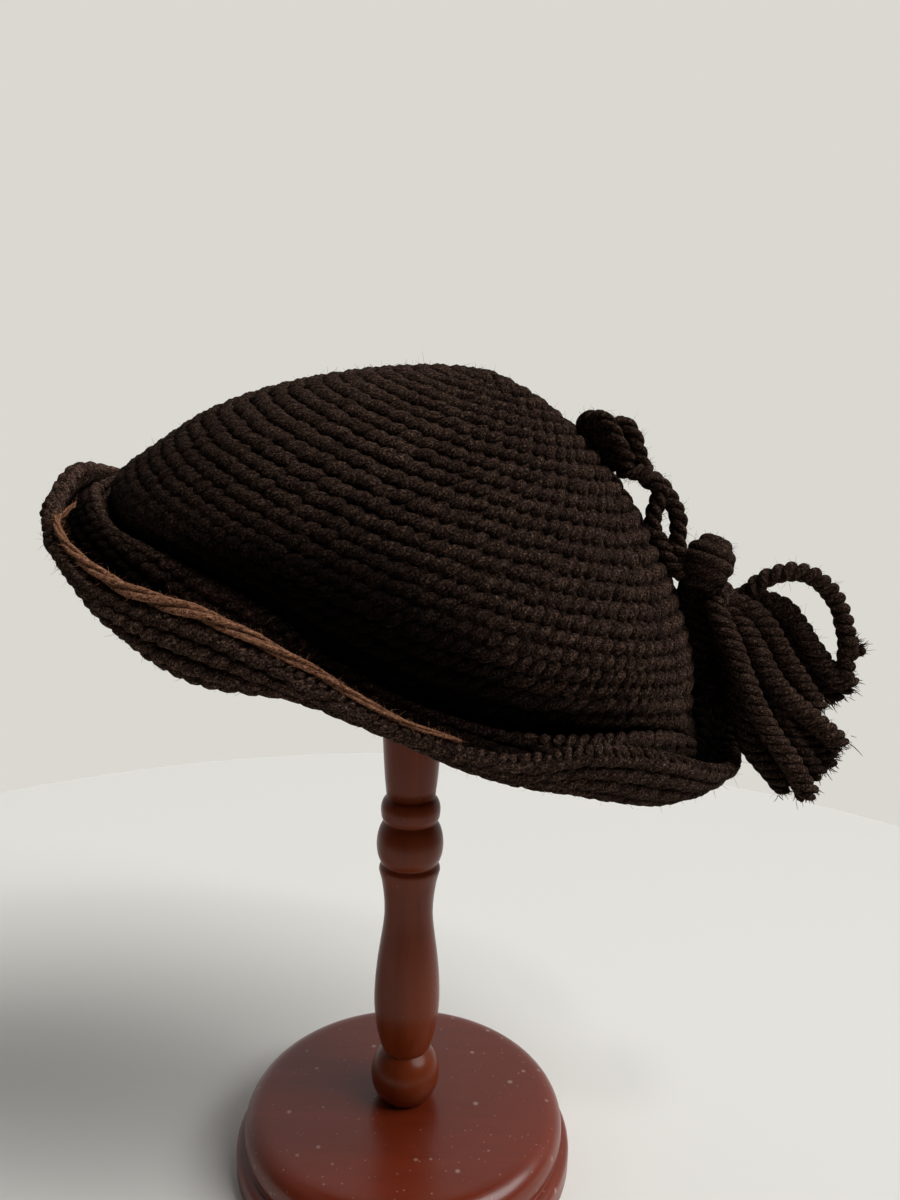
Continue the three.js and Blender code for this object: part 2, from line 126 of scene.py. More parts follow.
# Lacquered turned wood: nearly plain deep red-brown, faint grain, a satin skin with a little settled dust;
# its colour is the grain's stops, darkened in the pores, with a pale speck in each dusty cell
def lacqueredWood(name, look):
    material, tree, shader = newMaterial(name, {
        "Coat Weight": look["coat"], "Coat Roughness": 0.16, "Specular IOR Level": look["specular"]})
    place = addNode(tree, "TexCoord", out="Object")
    along = addNode(tree, "Mapping", {"Vector": place, "Scale": look["grainScale"]})
    figure = addNode(tree, "TexNoise", {"Vector": along, "Scale": 90.0, "Detail": 4.0, "Roughness": 0.55,
                                        "Distortion": 0.4}, "Fac")  # grain lines of about 5 mm
    body = setStops(addNode(tree, "ValToRGB", {"Fac": figure}), look["stops"])
    pores = addNode(tree, "TexNoise", {"Vector": along, "Scale": 500.0, "Detail": 2.0}, "Fac")
    poreMask = addNode(tree, "MapRange", {"Value": pores, "From Min": 0.58, "From Max": 0.75, "To Max": 0.25})
    finish = addNode(tree, "Mix", {mixShare: poreMask, mixFirst: body, mixSecond: colour(look["pore"])},
                     mixResult, data_type="RGBA")
    for scale, reach, share, strength in look["dust"]:  # cells per metre, size in a cell, how many, how pale
        cells = addNode(tree, "TexVoronoi", {"Vector": place, "Scale": scale}, "Distance")
        chance = addNode(tree, "SeparateColor", {"Color": cells.node.outputs["Color"]})
        size = addNode(tree, "MapRange", {"Value": chance, "From Min": 1 - share, "To Max": reach})
        inside = addNode(tree, "Math", {0: size, 1: cells}, operation="SUBTRACT")
        speck = addNode(tree, "MapRange", {"Value": inside, "From Max": reach * 0.5, "To Max": strength})
        finish = addNode(tree, "Mix", {mixShare: speck, mixFirst: finish, mixSecond: colour(dustColour)},
                         mixResult, data_type="RGBA")
    wear = addNode(tree, "TexNoise", {"Vector": place, "Scale": 60.0, "Detail": 3.0}, "Fac")
    gloss = addNode(tree, "MapRange", {"Value": wear, "To Min": look["gloss"][0], "To Max": look["gloss"][1]})
    bump = addNode(tree, "Bump", {"Height": pores, "Strength": 0.08, "Distance": 0.1 * mm})
    tree.links.new(finish, shader.inputs["Base Color"])
    tree.links.new(gloss, shader.inputs["Roughness"])
    tree.links.new(bump, shader.inputs["Normal"])
    return material


brownLook = {"twist": 0.6, "ply": 2.3, "plyShade": 0.3, "relief": 0.65, "sheen": 0.05,
             "sheenColour": "#8f7767", "fleck": 0.66, "fleckColour": "#806856",
             "stops": [(0.39, "#0d0706"), (0.5, "#261a16"), (0.63, "#49362e")]}
tanLook = {"twist": 0.15, "ply": 1.6, "plyShade": 0.3, "relief": 0.9, "sheen": 0.1,
           "sheenColour": "#c9a587", "fleck": 0.85, "fleckColour": "#dba683",
           "stops": [(0.4, "#47291a"), (0.5, "#8d5c43"), (0.6, "#c68e6d")]}
spindleLook = {"coat": 0.0, "specular": 0.22, "grainScale": (1, 1, 0.07), "pore": "#3a1508",
               "gloss": (0.24, 0.34), "dust": [(260.0, 0.1, 1.0, 0.3)],
               "stops": [(0.3, "#6a2a10"), (0.5, "#722e12"), (0.7, "#7b3415")]}
baseLook = {"coat": 0.1, "specular": 0.42, "grainScale": (0.1, 1, 1), "pore": "#4a1509", "gloss": (0.26, 0.36),
            "dust": [(140.0, 0.2, 1.0, 0.55), (420.0, 0.2, 1.0, 0.35)],
            "stops": [(0.3, "#682410"), (0.5, "#6c2611"), (0.7, "#712913")]}
brownWool = spunWool("brown_wool_yarn", brownLook)
tanWool = spunWool("tan_wool_yarn", tanLook)
spindleWood = lacqueredWood("red_lacquered_spindle", spindleLook)
baseWood = lacqueredWood("red_lacquered_base", baseLook)
print("materials made")


# Each vector divided by its length
def unit(vectors):
    return vectors / np.maximum(np.linalg.norm(vectors, axis=-1, keepdims=True), 1e-9)


# Values of a table at places: a Hermite cubic per span, each end's slope read across its neighbours
def smoothColumns(rows, at, period=0):
    table = np.array(rows, float)
    if period:
        lift = np.zeros(table.shape[1])
        lift[0] = period
        table = np.concatenate([table[-2:] - lift, table, table[:2] + lift])
        at = np.mod(at, period)
    knots = table[:, 0]
    low = np.clip(np.searchsorted(knots, at, side="right") - 1, 0, len(knots) - 2)
    high = low + 1
    before = np.maximum(low - 1, 0)
    after = np.minimum(high + 1, len(knots) - 1)
    span = (knots[high] - knots[low])[..., None]
    share = (at - knots[low])[..., None] / span
    values = table[:, 1:]
    rise = values[high] - values[low]
    lowSlope = (values[high] - values[before]) / (knots[high] - knots[before])[..., None] * span
    highSlope = (values[after] - values[low]) / (knots[after] - knots[low])[..., None] * span
    bend = 3 * rise - 2 * lowSlope - highSlope + share * (lowSlope + highSlope - 2 * rise)
    return values[low] + share * (lowSlope + share * bend)


# A smooth line through corners, last axis the coordinates: Hermite spans on the square roots of their lengths
def smoothLine(corners, closed, steps):
    corners = np.asarray(corners, float)
    if closed:
        knots = [np.roll(corners, shift, axis=-2) for shift in (1, 0, -1, -2)]
    else:
        first = 2 * corners[..., :1, :] - corners[..., 1:2, :]
        last = 2 * corners[..., -1:, :] - corners[..., -2:-1, :]
        spread = np.concatenate([first, corners, last], axis=-2)
        knots = [spread[..., i:i + corners.shape[-2] - 1, :] for i in range(4)]
    gaps = [np.sqrt(np.linalg.norm(knots[i + 1] - knots[i], axis=-1, keepdims=True)) + 1e-6 for i in range(3)]
    leave, reach = [((knots[i + 1] - knots[i]) / gaps[i] - (knots[i + 2] - knots[i]) / (gaps[i] + gaps[i + 1])
                     + (knots[i + 2] - knots[i + 1]) / gaps[i + 1])[..., None, :] * gaps[1][..., None, :]
                    for i in (0, 1)]
    rise = (knots[2] - knots[1])[..., None, :]
    share = (np.arange(steps) / steps)[:, None]
    bend = 3 * rise - 2 * leave - reach + share * (leave + reach - 2 * rise)
    line = knots[1][..., None, :] + share * (leave + share * bend)
    line = line.reshape(*corners.shape[:-2], -1, corners.shape[-1])
    return line if closed else np.concatenate([line, corners[..., -1:, :]], axis=-2)


# Length travelled along a line at each of its points: the running sum of its steps
def lengthAlong(line):
    return np.concatenate([[0], np.cumsum(np.linalg.norm(np.diff(line, axis=0), axis=1))])


# Points at equal steps of length along one line; a closed line leaves out the repeated last point
def evenLine(line, count, closed):
    if closed:
        line = np.concatenate([line, line[:1]])
    lengths = lengthAlong(line)
    at = np.linspace(0, lengths[-1], count, endpoint=not closed)
    return np.stack([np.interp(at, lengths, column) for column in line.T], axis=1)


# An open line through corners: smoothed, then set out again in equal steps
def cordLine(corners, count, steps=20):
    return evenLine(smoothLine(corners, False, steps), count, False)


# Direction of lines at each point: the difference of its neighbours, counted round the seam of a closed line
def runAlong(lines, closed):
    if closed:
        return unit(np.roll(lines, -1, axis=-2) - np.roll(lines, 1, axis=-2))
    return unit(np.gradient(lines, axis=-2))


# Quads of a grid of rows by columns, the columns round, the rows wrapped where they close; columns go first
def gridQuads(rows, columns, wrapRows):
    i = np.arange(rows if wrapRows else rows - 1)[:, None]
    j = np.arange(columns)
    here = i * columns
    ahead = (i + 1) % rows * columns
    after = (j + 1) % columns
    corners = [here + j, here + after, ahead + after, ahead + j]
    return np.stack(corners, axis=-1).reshape(-1, 4)


# Flat places of a grid's quad corners in millimetres, counted on past the seam
def gridPlaces(rowAt, columnAt):
    rows = np.stack([rowAt[:-1], rowAt[:-1], rowAt[1:], rowAt[1:]], axis=-1)[:, None]
    columns = np.stack([columnAt[:-1], columnAt[1:], columnAt[1:], columnAt[:-1]], axis=-1)
    return np.stack(np.broadcast_arrays(rows, columns), axis=-1).reshape(-1, 4, 2)


# Triangles closing both ends of a run of rings: fans from point tip to the first ring, tip + 1 to the last
def endFans(sides, last, tip):
    here = np.arange(sides)
    ahead = (here + 1) % sides
    return np.concatenate([np.stack([np.full(sides, tip), ahead, here], axis=1),
                           np.stack([np.full(sides, tip + 1), last + here, last + ahead], axis=1)])


# Copies of one shape as a block of faces: each copy's corner numbers are moved on by the points before it
def copies(points, quads, tris, quadPlaces, triPlaces, tones):
    shift = np.arange(len(points))[:, None, None] * points.shape[1]
    return {"points": points.reshape(-1, 3), "quads": (quads + shift).reshape(-1, 4),
            "tris": (tris + shift).reshape(-1, 3), "quadPlaces": quadPlaces.reshape(-1, 2),
            "triPlaces": triPlaces.reshape(-1, 2), "tone": np.broadcast_to(tones, points.shape[:2]).ravel()}


# A scene object with its data
def addObject(name, data):
    made = bpy.data.objects.new(name, data)
    bpy.context.scene.collection.objects.link(made)
    return made


# One mesh object from blocks of points, quads and triangles in millimetres, with yarn places and a tone
def makePiece(name, nodes, blocks, material=brownWool):
    joined = {key: np.concatenate([block[key] for block in blocks]) for key in blocks[0]}
    counts = [len(block["points"]) for block in blocks]
    starts = np.cumsum(counts) - counts
    quads, tris = [joined[key] + np.repeat(starts, [len(block[key]) for block in blocks])[:, None]
                   for key in ("quads", "tris")]
    points = joined["points"] * mm
    mesh = bpy.data.meshes.new(name)
    mesh.vertices.add(len(points))
    mesh.vertices.foreach_set("co", points.ravel().astype(np.float32))
    mesh.loops.add(quads.size + tris.size)
    mesh.loops.foreach_set("vertex_index", np.concatenate([quads.ravel(), tris.ravel()]).astype(np.int32))
    mesh.polygons.add(len(quads) + len(tris))
    faceStarts = np.concatenate([np.arange(len(quads)) * 4, quads.size + np.arange(len(tris)) * 3])
    mesh.polygons.foreach_set("loop_start", faceStarts.astype(np.int32))
    mesh.polygons.foreach_set("use_smooth", np.ones(len(faceStarts), bool))
    mesh.update(calc_edges=True)
    places = np.concatenate([joined["quadPlaces"], joined["triPlaces"]])
    mesh.uv_layers.new(name="yarn").data.foreach_set("uv", places.ravel().astype(np.float32))
    mesh.attributes.new("tone", "FLOAT", "POINT").data.foreach_set("value", joined["tone"].astype(np.float32))
    mesh.materials.append(material)
    piece = addObject(name, mesh)
    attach(piece, "root")
    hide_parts(*nodes)
    print(name, "has", len(quads) * 2 + len(tris), "triangles")


yarnSpread = 40  # mm of yarn pattern over which each tube or stitch starts at a place of its own
tipReach = 0.4  # how far the point that closes a tube stands out, in its radii


# Tubes along many lines: centre + radius * (cos a * normal + sin a * side), a point closing each open end
def sweepTubes(centres, guides, radii, sides, closed, tone, paintedInnerShade=0.0):
    lines, steps = centres.shape[:2]
    along = runAlong(centres, closed)
    normals = unit(guides - along * np.sum(guides * along, axis=-1, keepdims=True))
    across = np.cross(along, normals)
    radii = np.broadcast_to(radii, (lines, steps))
    turn = np.linspace(0, 2 * math.pi, sides, endpoint=False)
    spokes = np.cos(turn)[:, None] * normals[:, :, None] + np.sin(turn)[:, None] * across[:, :, None]
    points = (centres[:, :, None] + radii[:, :, None, None] * spokes).reshape(lines, -1, 3)
    jump = np.linalg.norm(np.diff(centres, axis=1), axis=-1).mean(axis=0)
    rowAt = np.concatenate([[0], np.cumsum(jump)])
    tris = np.zeros((0, 3), int)
    triPlaces = np.zeros((0, 3, 2))
    if closed:
        rowAt = np.append(rowAt, rowAt[-1] + jump[-1])
    else:
        tips = [centres[:, :1] - along[:, :1] * radii[:, :1, None] * tipReach,
                centres[:, -1:] + along[:, -1:] * radii[:, -1:, None] * tipReach]
        points = np.concatenate([points, *tips], axis=1)
        tris = endFans(sides, (steps - 1) * sides, steps * sides)
        triPlaces = np.zeros((2 * sides, 3, 2))
        triPlaces[sides:, :, 0] = rowAt[-1]
    places = gridPlaces(rowAt, np.linspace(0, 2 * math.pi * float(radii.mean()), sides + 1))
    spread = rng.uniform(0, yarnSpread, (lines, 1, 1, 2))
    pointTone = np.ones(points.shape[1])
    # painted shade: each tube is darker on its side turned in towards the rope's middle, where the plies meet
    pointTone[:steps * sides] = np.tile(1 - paintedInnerShade * np.clip(0.75 - np.cos(turn), 0, 1), steps)  # darker inwards
    tones = np.broadcast_to(tone, lines)[:, None] * pointTone
    quads = gridQuads(steps, sides, closed)
    return copies(points, quads, tris, places + spread, triPlaces + spread, tones)


plyFit = {1: (0.0, 1.0), 2: (0.5, 0.54), 3: (0.54, 0.48), 4: (0.6, 0.44)}  # offset and girth, in cord radii
endTaper = np.array((0.5, 0.8, 0.95))  # girth at the outer three points of an open end
cutReach = 9  # mm over which a cut end opens


# Plies laid round a line: centre + offset * (cos a * first + sin a * second), a one turn back for each lay of
# length and share of the plies; a closed line gets whole turns
def laidRope(line, radius, lay, plies=3, closed=False, tone=0.8, guide=(0, 1, 0), sides=10, opened=0,
             paintedRopeShade=0.6):
    along = runAlong(line, closed)
    guide = np.array(guide, float)
    first = unit(guide - along * (along @ guide)[:, None])
    second = np.cross(along, first)
    travelled = lengthAlong(line)
    whole = travelled[-1] + (np.linalg.norm(line[0] - line[-1]) if closed else 0)
    turns = max(round(whole / lay), 1) if closed else whole / lay
    angle = -2 * math.pi * (turns * travelled / whole + np.arange(plies)[:, None] / plies)
    spokes = np.cos(angle)[..., None] * first + np.sin(angle)[..., None] * second
    radius = np.broadcast_to(radius, len(line))
    offset, girth = plyFit[plies]
    swell = 1 + 0.04 * np.sin(travelled * 1.9 + rng.uniform(0, 6)) + 0.03 * np.sin(travelled * 0.63)
    parting = opened * np.clip((travelled - whole + cutReach) / cutReach, 0, 1) ** 2
    plyRadius = radius * girth * swell * (1 - 0.25 * np.minimum(parting, 1))
    plyRadius = np.broadcast_to(plyRadius, (plies, len(line))).copy()
    if not closed:
        plyRadius[:, :3] *= endTaper
        plyRadius[:, -3:] *= endTaper[::-1]
    centres = line + (radius * offset * (1 + parting))[:, None] * spokes
    plyTone = tone + rng.uniform(-0.06, 0.06, plies)
    return sweepTubes(centres, spokes, plyRadius, sides, closed, plyTone, paintedRopeShade)


lump = {"rings": 5, "sides": 8, "blunt": 2.6}


# Closed lumps: rings of girth (1 - |u| ** blunt) ** 0.5 times the half sizes, ends bent down by u * u
def stitchLumps(centre, axes, half, bend, tone, shade):
    rings, sides = lump["rings"], lump["sides"]
    u = -np.cos(np.linspace(0, math.pi, rings + 2))
    fat = np.sqrt(np.maximum(1 - np.abs(u) ** lump["blunt"], 0))[1:-1, None]
    turn = np.linspace(-0.5 * math.pi, 1.5 * math.pi, sides, endpoint=False)
    middle = np.broadcast_to(u[1:-1, None], (rings, sides))
    ring = np.stack([middle, fat * np.cos(turn), fat * np.sin(turn)], axis=-1).reshape(-1, 3)
    shape = np.concatenate([ring, [[-1, 0, 0], [1, 0, 0]]])
    local = shape * np.stack(half, axis=-1)[:, None]
    local[..., 2] -= bend[:, None] * shape[:, 0] ** 2
    points = centre[:, None] + np.einsum("npk,nkd->npd", local, np.stack(axes, axis=1))
    places = gridPlaces(u[1:-1], np.linspace(0, 1, sides + 1))
    j = np.arange(sides)
    ends = np.repeat([[-1, u[1], u[1]], [1, u[-2], u[-2]]], sides, axis=0)
    turns = np.concatenate([np.stack([j + 0.5, j + 1, j], axis=1), np.stack([j + 0.5, j, j + 1], axis=1)])
    triPlaces = np.stack([ends, turns / sides], axis=-1)
    spread = rng.uniform(0, yarnSpread, (len(centre), 1, 1, 2))
    scale = np.stack([half[0], 2 * math.pi * half[1]], axis=-1)[:, None, None]
    # painted shade and light: each lump's tone is lighter on top and darker down its sides and ends, shade
    # painted into the grooves between stitches
    lit = np.clip(0.25 + 0.75 * shape[:, 2] - 0.45 * shape[:, 0] ** 2, 0, 1)  # less light down in the grooves
    tones = tone[:, None] * (1 - shade[:, None] * (1 - lit / lit.max()))
    quads = gridQuads(rings, sides, False)
    tris = endFans(sides, (rings - 1) * sides, rings * sides)
    return copies(points, quads, tris, places * scale + spread, triPlaces * scale + spread, tones)


# Axes of a surface: along the row and across it by central differences, out their cross product, all square
def surfaceFrame(surface, u, v, stepU, stepV):
    along = unit(surface(u, v + stepV) - surface(u, v - stepV))
    across = unit(surface(u + stepU, v) - surface(u - stepU, v))
    out = unit(np.cross(along, across))
    return along, np.cross(out, along), out


# From low to high by a share: low + (high - low) * share
def between(low, high, share):
    return low + (high - low) * share


# Nearness to a turn: the cosine of the degrees from it, 0 past a quarter turn
def nearTo(v, at):
    return np.clip(np.cos(np.radians(v - at)), 0, 1)


# Share of long flat stitches: base + turn * cos of the degrees from their middle, less on the short rows,
# which fade out with the cosine of the degrees from the side that they are worked on
def longShare(u, v, look):
    byTurn = np.clip(look["longBase"] + look["longTurn"] * np.cos(np.radians(v - look["longAt"])), 0, 1)
    apart = np.min([np.abs(u - row) for row in look["shortRows"]], axis=0)
    onSide = np.clip(0.5 + 1.5 * np.cos(np.radians(v - look["shortAt"])), 0, 1)
    return byTurn * (1 - onSide * np.clip(2 - apart / look["shortReach"], 0, 1))


# Painted shade and light on the wool's tone: a table up the cut, below 1 shade painted in the folds and
# trough, above 1 light painted on the ridge and outer face, its places stretched by reach + swing * c ** 8, c
# the nearness to the deepest fold;
# a place in "closed" raises it to 1 + depth * d ** narrow, d the nearness to its turn, below 0 to open it; the
# side turned from the light takes dim * s * s off as painted shade
def paintedShadeAndLight(u, v, look):
    deep = nearTo(v, look["foldAt"]) ** 8
    at, tone = np.array(look["paintedShadeAndLight"]).T
    power = 1.0
    for closedAt, depth, narrow, above, below in look["closed"]:
        within = (u > above) & (u < below)
        power = power + within * depth * nearTo(v, closedAt) ** narrow
    shadeAt, dim, dimReach = look["shaded"]
    shaded = nearTo(v, shadeAt) ** 2 * np.clip(1 - u / dimReach, 0, 1)
    up = u / (look["foldReach"] + look["foldSwing"] * deep)
    return np.interp(up, at, tone) ** power * (1 - dim * shaded)


# Places of stitches row by row: equal shares of length over pitch round each row, every second row set half a
# step on, each place a little uneven
def stitchPlaces(surface, rowsAt, look):
    turn = np.linspace(0, 360, 721)  # every half degree
    us, vs = [], []
    for number, at in enumerate(rowsAt):
        ring = surface(np.full(len(turn), at), turn)
        pitch = between(look["pitch"], look["longPitch"], longShare(at, turn[1:], look))
        shares = np.concatenate([[0], np.cumsum(np.linalg.norm(np.diff(ring, axis=0), axis=1) / pitch)])
        count = max(int(round(shares[-1])), 6)
        steps = (np.arange(count) + 0.5 * number + rng.uniform(-0.12, 0.12, count)) % count
        vs.append(np.interp(steps / count * shares[-1], shares, turn))
        us.append(at + rng.normal(0, look["stray"], count) / len(rowsAt))
    return np.concatenate(us), np.concatenate(vs)


uneven = {"length": (0.94, 1.08), "width": (0.94, 1.06), "height": (0.92, 1.06), "tone": (0.91, 0.1)}


# Stitches worked on a surface: lumps turned by a slant from the row, sunk until their tops stand proud by a
# height that swells towards the back and fills out towards the front
def workedStitches(surface, u, v, halfRow, look, stepU):
    along, across, out = surfaceFrame(surface, u, v, stepU, stepV=0.4)
    room = np.linalg.norm(surface(u + halfRow, v) - surface(u - halfRow, v), axis=-1)
    room = np.clip(room, *look["room"])
    long = longShare(u, v, look)
    slant = between(look["slant"], look["longSlant"], long) + rng.normal(0, look["sway"], len(u))
    slant = np.radians(slant)[:, None]
    lie = np.cos(slant) * along + np.sin(slant) * across
    side = np.cos(slant) * across - np.sin(slant) * along
    shortHalf, width, longWidth = look["shape"]
    halfLength = between(np.maximum(room * shortHalf, look["least"]), look["longHalf"], long)
    halfLength = halfLength * rng.uniform(*uneven["length"], len(u))
    halfWidth = np.maximum(room * between(width, longWidth, long), look["least"] * 0.6)
    halfWidth = halfWidth * rng.uniform(*uneven["width"], len(u))
    halfHeight = np.minimum(room * look["height"], look["maxHeight"]) * rng.uniform(*uneven["height"], len(u))
    front = nearTo(v, 180) * np.sin(math.pi * np.clip(u * 1.2, 0, 1)) ** 2
    proud = look["proud"] + look["swell"] * nearTo(v, 0) + look["fullness"] * front
    centre = surface(u, v) - out * (halfHeight - proud)[:, None]
    # painted shade and light: each stitch's random tone times the fold table
    tone = rng.normal(*uneven["tone"], len(u)) * paintedShadeAndLight(u, v, look)
    shade = between(*look["paintedGrooveShade"], long)
    half = (halfLength, halfWidth, halfHeight)
    return stitchLumps(centre, (lie, side, out), half, halfHeight * look["bend"], tone, shade)


fibreTaper = np.array((1, 0.9, 0.7, 0.3))  # girth at the four points of a fibre


# Loose fibres: base + length * (s * lean + s * s * curl), three-sided and drawn to a thin tip
def looseFibres(base, out, look, tone=1.0):
    count = len(base)
    lean = unit(out * look["stand"] + rng.normal(0, 0.6, (count, 3)))
    curl = rng.normal(0, look["curl"], (count, 3))
    length = rng.uniform(*look["length"], count)[:, None, None]
    s = np.linspace(0, 1, len(fibreTaper))[:, None]
    centres = base[:, None] + length * (s * lean[:, None] + s * s * curl[:, None])
    guides = np.broadcast_to(np.cross(lean, unit(curl))[:, None], centres.shape)
    radii = rng.uniform(*look["thick"], count)[:, None] * fibreTaper
    return sweepTubes(centres, guides, radii, 3, False, rng.uniform(0.9, 1.4, count) * tone)


# Fibres standing off worked stitches: chance stitches, moved a little, the base just under the surface, toned
# with the stitches' painted shade and light
def stitchFibres(surface, u, v, stepU, look, folds):
    pick = rng.integers(0, len(u), look["count"])
    atU = u[pick] + rng.normal(0, stepU, look["count"])
    atV = v[pick] + rng.normal(0, 2.0, look["count"])
    out = surfaceFrame(surface, atU, atV, stepU, stepV=0.6)[2]
    return looseFibres(surface(atU, atV) - out * look["sunk"], out, look, paintedShadeAndLight(atU, atV, folds))


# Fibres standing off a rope: centre + 0.85 * radius * a chance direction square to the rope
def ropeFibres(line, radius, count, look):
    at = rng.integers(1, len(line) - 1, count)
    along = runAlong(line, False)[at]
    out = rng.normal(0, 1, (count, 3))
    out = unit(out - along * np.sum(out * along, axis=1, keepdims=True))
    return looseFibres(line[at] + out * np.broadcast_to(radius, len(line))[at][:, None] * 0.85, out, look)


# A cut end: fibres from a disc at the rope's last point, fanned out along its run
def frayedEnd(line, radius, count, look):
    along = unit(line[-1] - line[-4])
    spread = rng.normal(0, 0.5, (count, 3))
    spread = spread - along * (spread @ along)[:, None]
    return looseFibres(line[-1] - along * 1.2 + spread * radius, unit(along + spread * 0.35), look)


# A closed skin from a grid of points, rows by columns, the columns round; two given points close open ends
def skin(grid, wrapRows, tone, ends=None):
    rows, columns = grid.shape[:2]
    points = grid.reshape(-1, 3)
    tris = np.zeros((0, 3), int)
    if ends is not None:
        tris = endFans(columns, len(points) - columns, len(points))
        points = np.concatenate([points, np.array(ends, float)])
    quads = gridQuads(rows, columns, wrapRows)
    places = gridPlaces(np.arange(rows + wrapRows) * 1.0, np.arange(columns + 1) * 2.0)
    return copies(points[None], quads, tris, places, np.zeros((len(tris), 3, 2)), np.ravel(tone))


hat = {"centre": (-6, 5, 214), "tilt": 23.6, "roll": 10.8, "rimLength": 112, "rimWidth": 70}
hatTurn = mathutils.Euler((math.radians(hat["roll"]), math.radians(hat["tilt"]), 0), "ZXY")
hatAxes = np.array(hatTurn.to_matrix())


# From the hat's own frame to the stand's: turned by the tilt and roll, then moved to the hat's centre
def placed(points):
    return points @ hatAxes.T + np.array(hat["centre"], float)


# Places round the rim: ((length + out) * cos a, (width + out) * sin a, rise) in the hat's own frame
def roundRim(out, rise, v):
    turn = np.radians(v)
    local = [(hat["rimLength"] + out) * np.cos(turn), (hat["rimWidth"] + out) * np.sin(turn), rise]
    return placed(np.stack(local, axis=-1))


brim = {
    "stations": [  # at, ridge, foldOut, fold, lipOut, lip, edgeOut, edge, thick
        (0, 5, 20, -6, 25, 4, 26, 10, 6), (14, 7, 21, -4, 29, 11, 31, 24, 6),
        (28, 9, 20, -3, 28, 15, 30, 33, 6), (45, 11, 18, -2, 24, 14, 26, 29, 6),
        (65, 10, 17, -3, 20, 8, 21, 18, 6), (90, 5, 16, -5, 18, 2, 17.5, 8, 6),
        (115, 6, 17, -9, 19, -2, 18, 5, 6), (135, 8, 18, -15, 20, -6, 18, 2, 6),
        (155, 4, 20, -20, 22.5, -11, 20, -4.5, 7), (172, 1, 22, -23, 25.5, -12, 24, -3, 9),
        (186, 0, 20, -22, 22, -16, 19.5, -10.5, 7), (200, 3, 17, -22, 18.5, -16, 16, -14, 6),
        (215, 2, 17, -20, 18, -14.5, 16, -12, 6), (232, 7, 17, -21.5, 18.5, -13, 16, -7.5, 6),
        (248, 10, 18, -19, 19, -7, 17, 1, 6), (262, 6, 17.5, -8.5, 19, -2, 17, 3, 6),
        (275, 3.5, 17, -6.5, 18.5, -2.5, 17.5, 0.5, 6), (290, 5, 18, -7, 19, -1.5, 18, 3.5, 6),
        (303, 10, 18, -5, 19.5, 6, 18, 15, 6), (318, 16, 18.5, -5, 20, 6, 17, 16, 6),
        (333, 15, 19, -4.5, 21, 5, 19, 12, 6), (348, 9, 20, -5.5, 23, 3, 23, 9, 6)],
    "rows": 17, "pitch": 3.3, "longPitch": 6.2, "longBase": 1.0, "longTurn": 0.0, "longAt": 0,
    "shortRows": (0.57, 0.9), "shortAt": 335, "shortReach": 0.035, "slant": 58, "longSlant": 17,
    "shape": (0.7, 0.36, 0.43), "least": 2.4, "longHalf": 5.8, "height": 0.45, "maxHeight": 2.6,
    "room": (3.6, 6.6), "proud": 0.4, "swell": 0.2, "fullness": 0.0, "bend": 0.3, "stray": 0.02, "sway": 4,
    # painted shade from this line on: the groove entry darkens the gaps between stitches, the shaded entry the
    # side turned from the light
    "paintedGrooveShade": (0.42, 0.7), "foldReach": 1.0, "foldSwing": 0.0, "foldAt": 0, "shaded": (335, 0.55, 3),
    # painted shade and light: each window raises the fold table to a power, darker where it is below 1,
    # lighter on the ridge where it is above 1; a depth below 0 lightens the trough
    "closed": [  # turn, depth, narrow, then from where to where up the cut
        (12, 2.0, 2, 0.6, 0.83), (198, 0.8, 2, 0.6, 0.82), (268, 1.6, 8, 0.82, 0.95),
        (268, -1.4, 8, 0.74, 0.82)],
    # painted shade and light up the cut: below 1 darkens where the brim meets the crown and down in the
    # trough, above 1 lightens the outer face, the edge and the ridge
    "paintedShadeAndLight": [(0, 0.5), (0.1, 1.1), (0.25, 1.6), (0.4, 1.7), (0.57, 1.55), (0.63, 0.5), (0.68, 0.3),
                 (0.75, 0.3), (0.79, 0.7), (0.84, 1.6), (0.92, 1.8), (0.96, 0.9), (1, 0.4)]}


# The brim's cut at each turn, out from the rim and up: corners from the station table, smoothed and made even
def brimCuts(turn, count):
    ridge, foldOut, fold, lipOut, lip, edgeOut, edge, thick = smoothColumns(brim["stations"], turn, 360).T
    seat = ridge - 4.3
    slope = np.minimum((ridge + fold) / 2 - 3, ridge - 9)
    sole = np.minimum(fold + 3, ridge - 7)
    dip = np.minimum(np.minimum(fold + 7, ridge - 3.5), edge - 3)
    rim = np.zeros_like(ridge)
    corners = np.array([  # out and up, under the ridge, round the sole and edge, and back over the ridge
        (rim - 5.5, seat), (rim - 6, ridge - 6.5), (rim - 3.5, ridge - 9), (rim + 1, slope), (rim + 5.5, sole),
        (foldOut - 4, fold), (foldOut, fold + 4), (lipOut, lip), (edgeOut + 1.5, edge - 2),
        (edgeOut - 1, edge), (edgeOut - thick + 2.5, edge - 1.5), (lipOut - thick, lip),
        (foldOut / 2 - thick / 4 + 4.5, dip), (rim + 8.5, ridge - 3), (rim + 5.5, ridge),
        (rim + 2.5, ridge - 2), (rim - 0.5, seat)])
    lines = smoothLine(np.moveaxis(corners, -1, 0), True, 10)
    return np.stack([evenLine(line, count, True) for line in lines])


cutPoints, cutTurns = 240, 480
brimGrid = brimCuts(np.arange(cutTurns) * 360 / cutTurns, cutPoints).transpose(1, 0, 2)


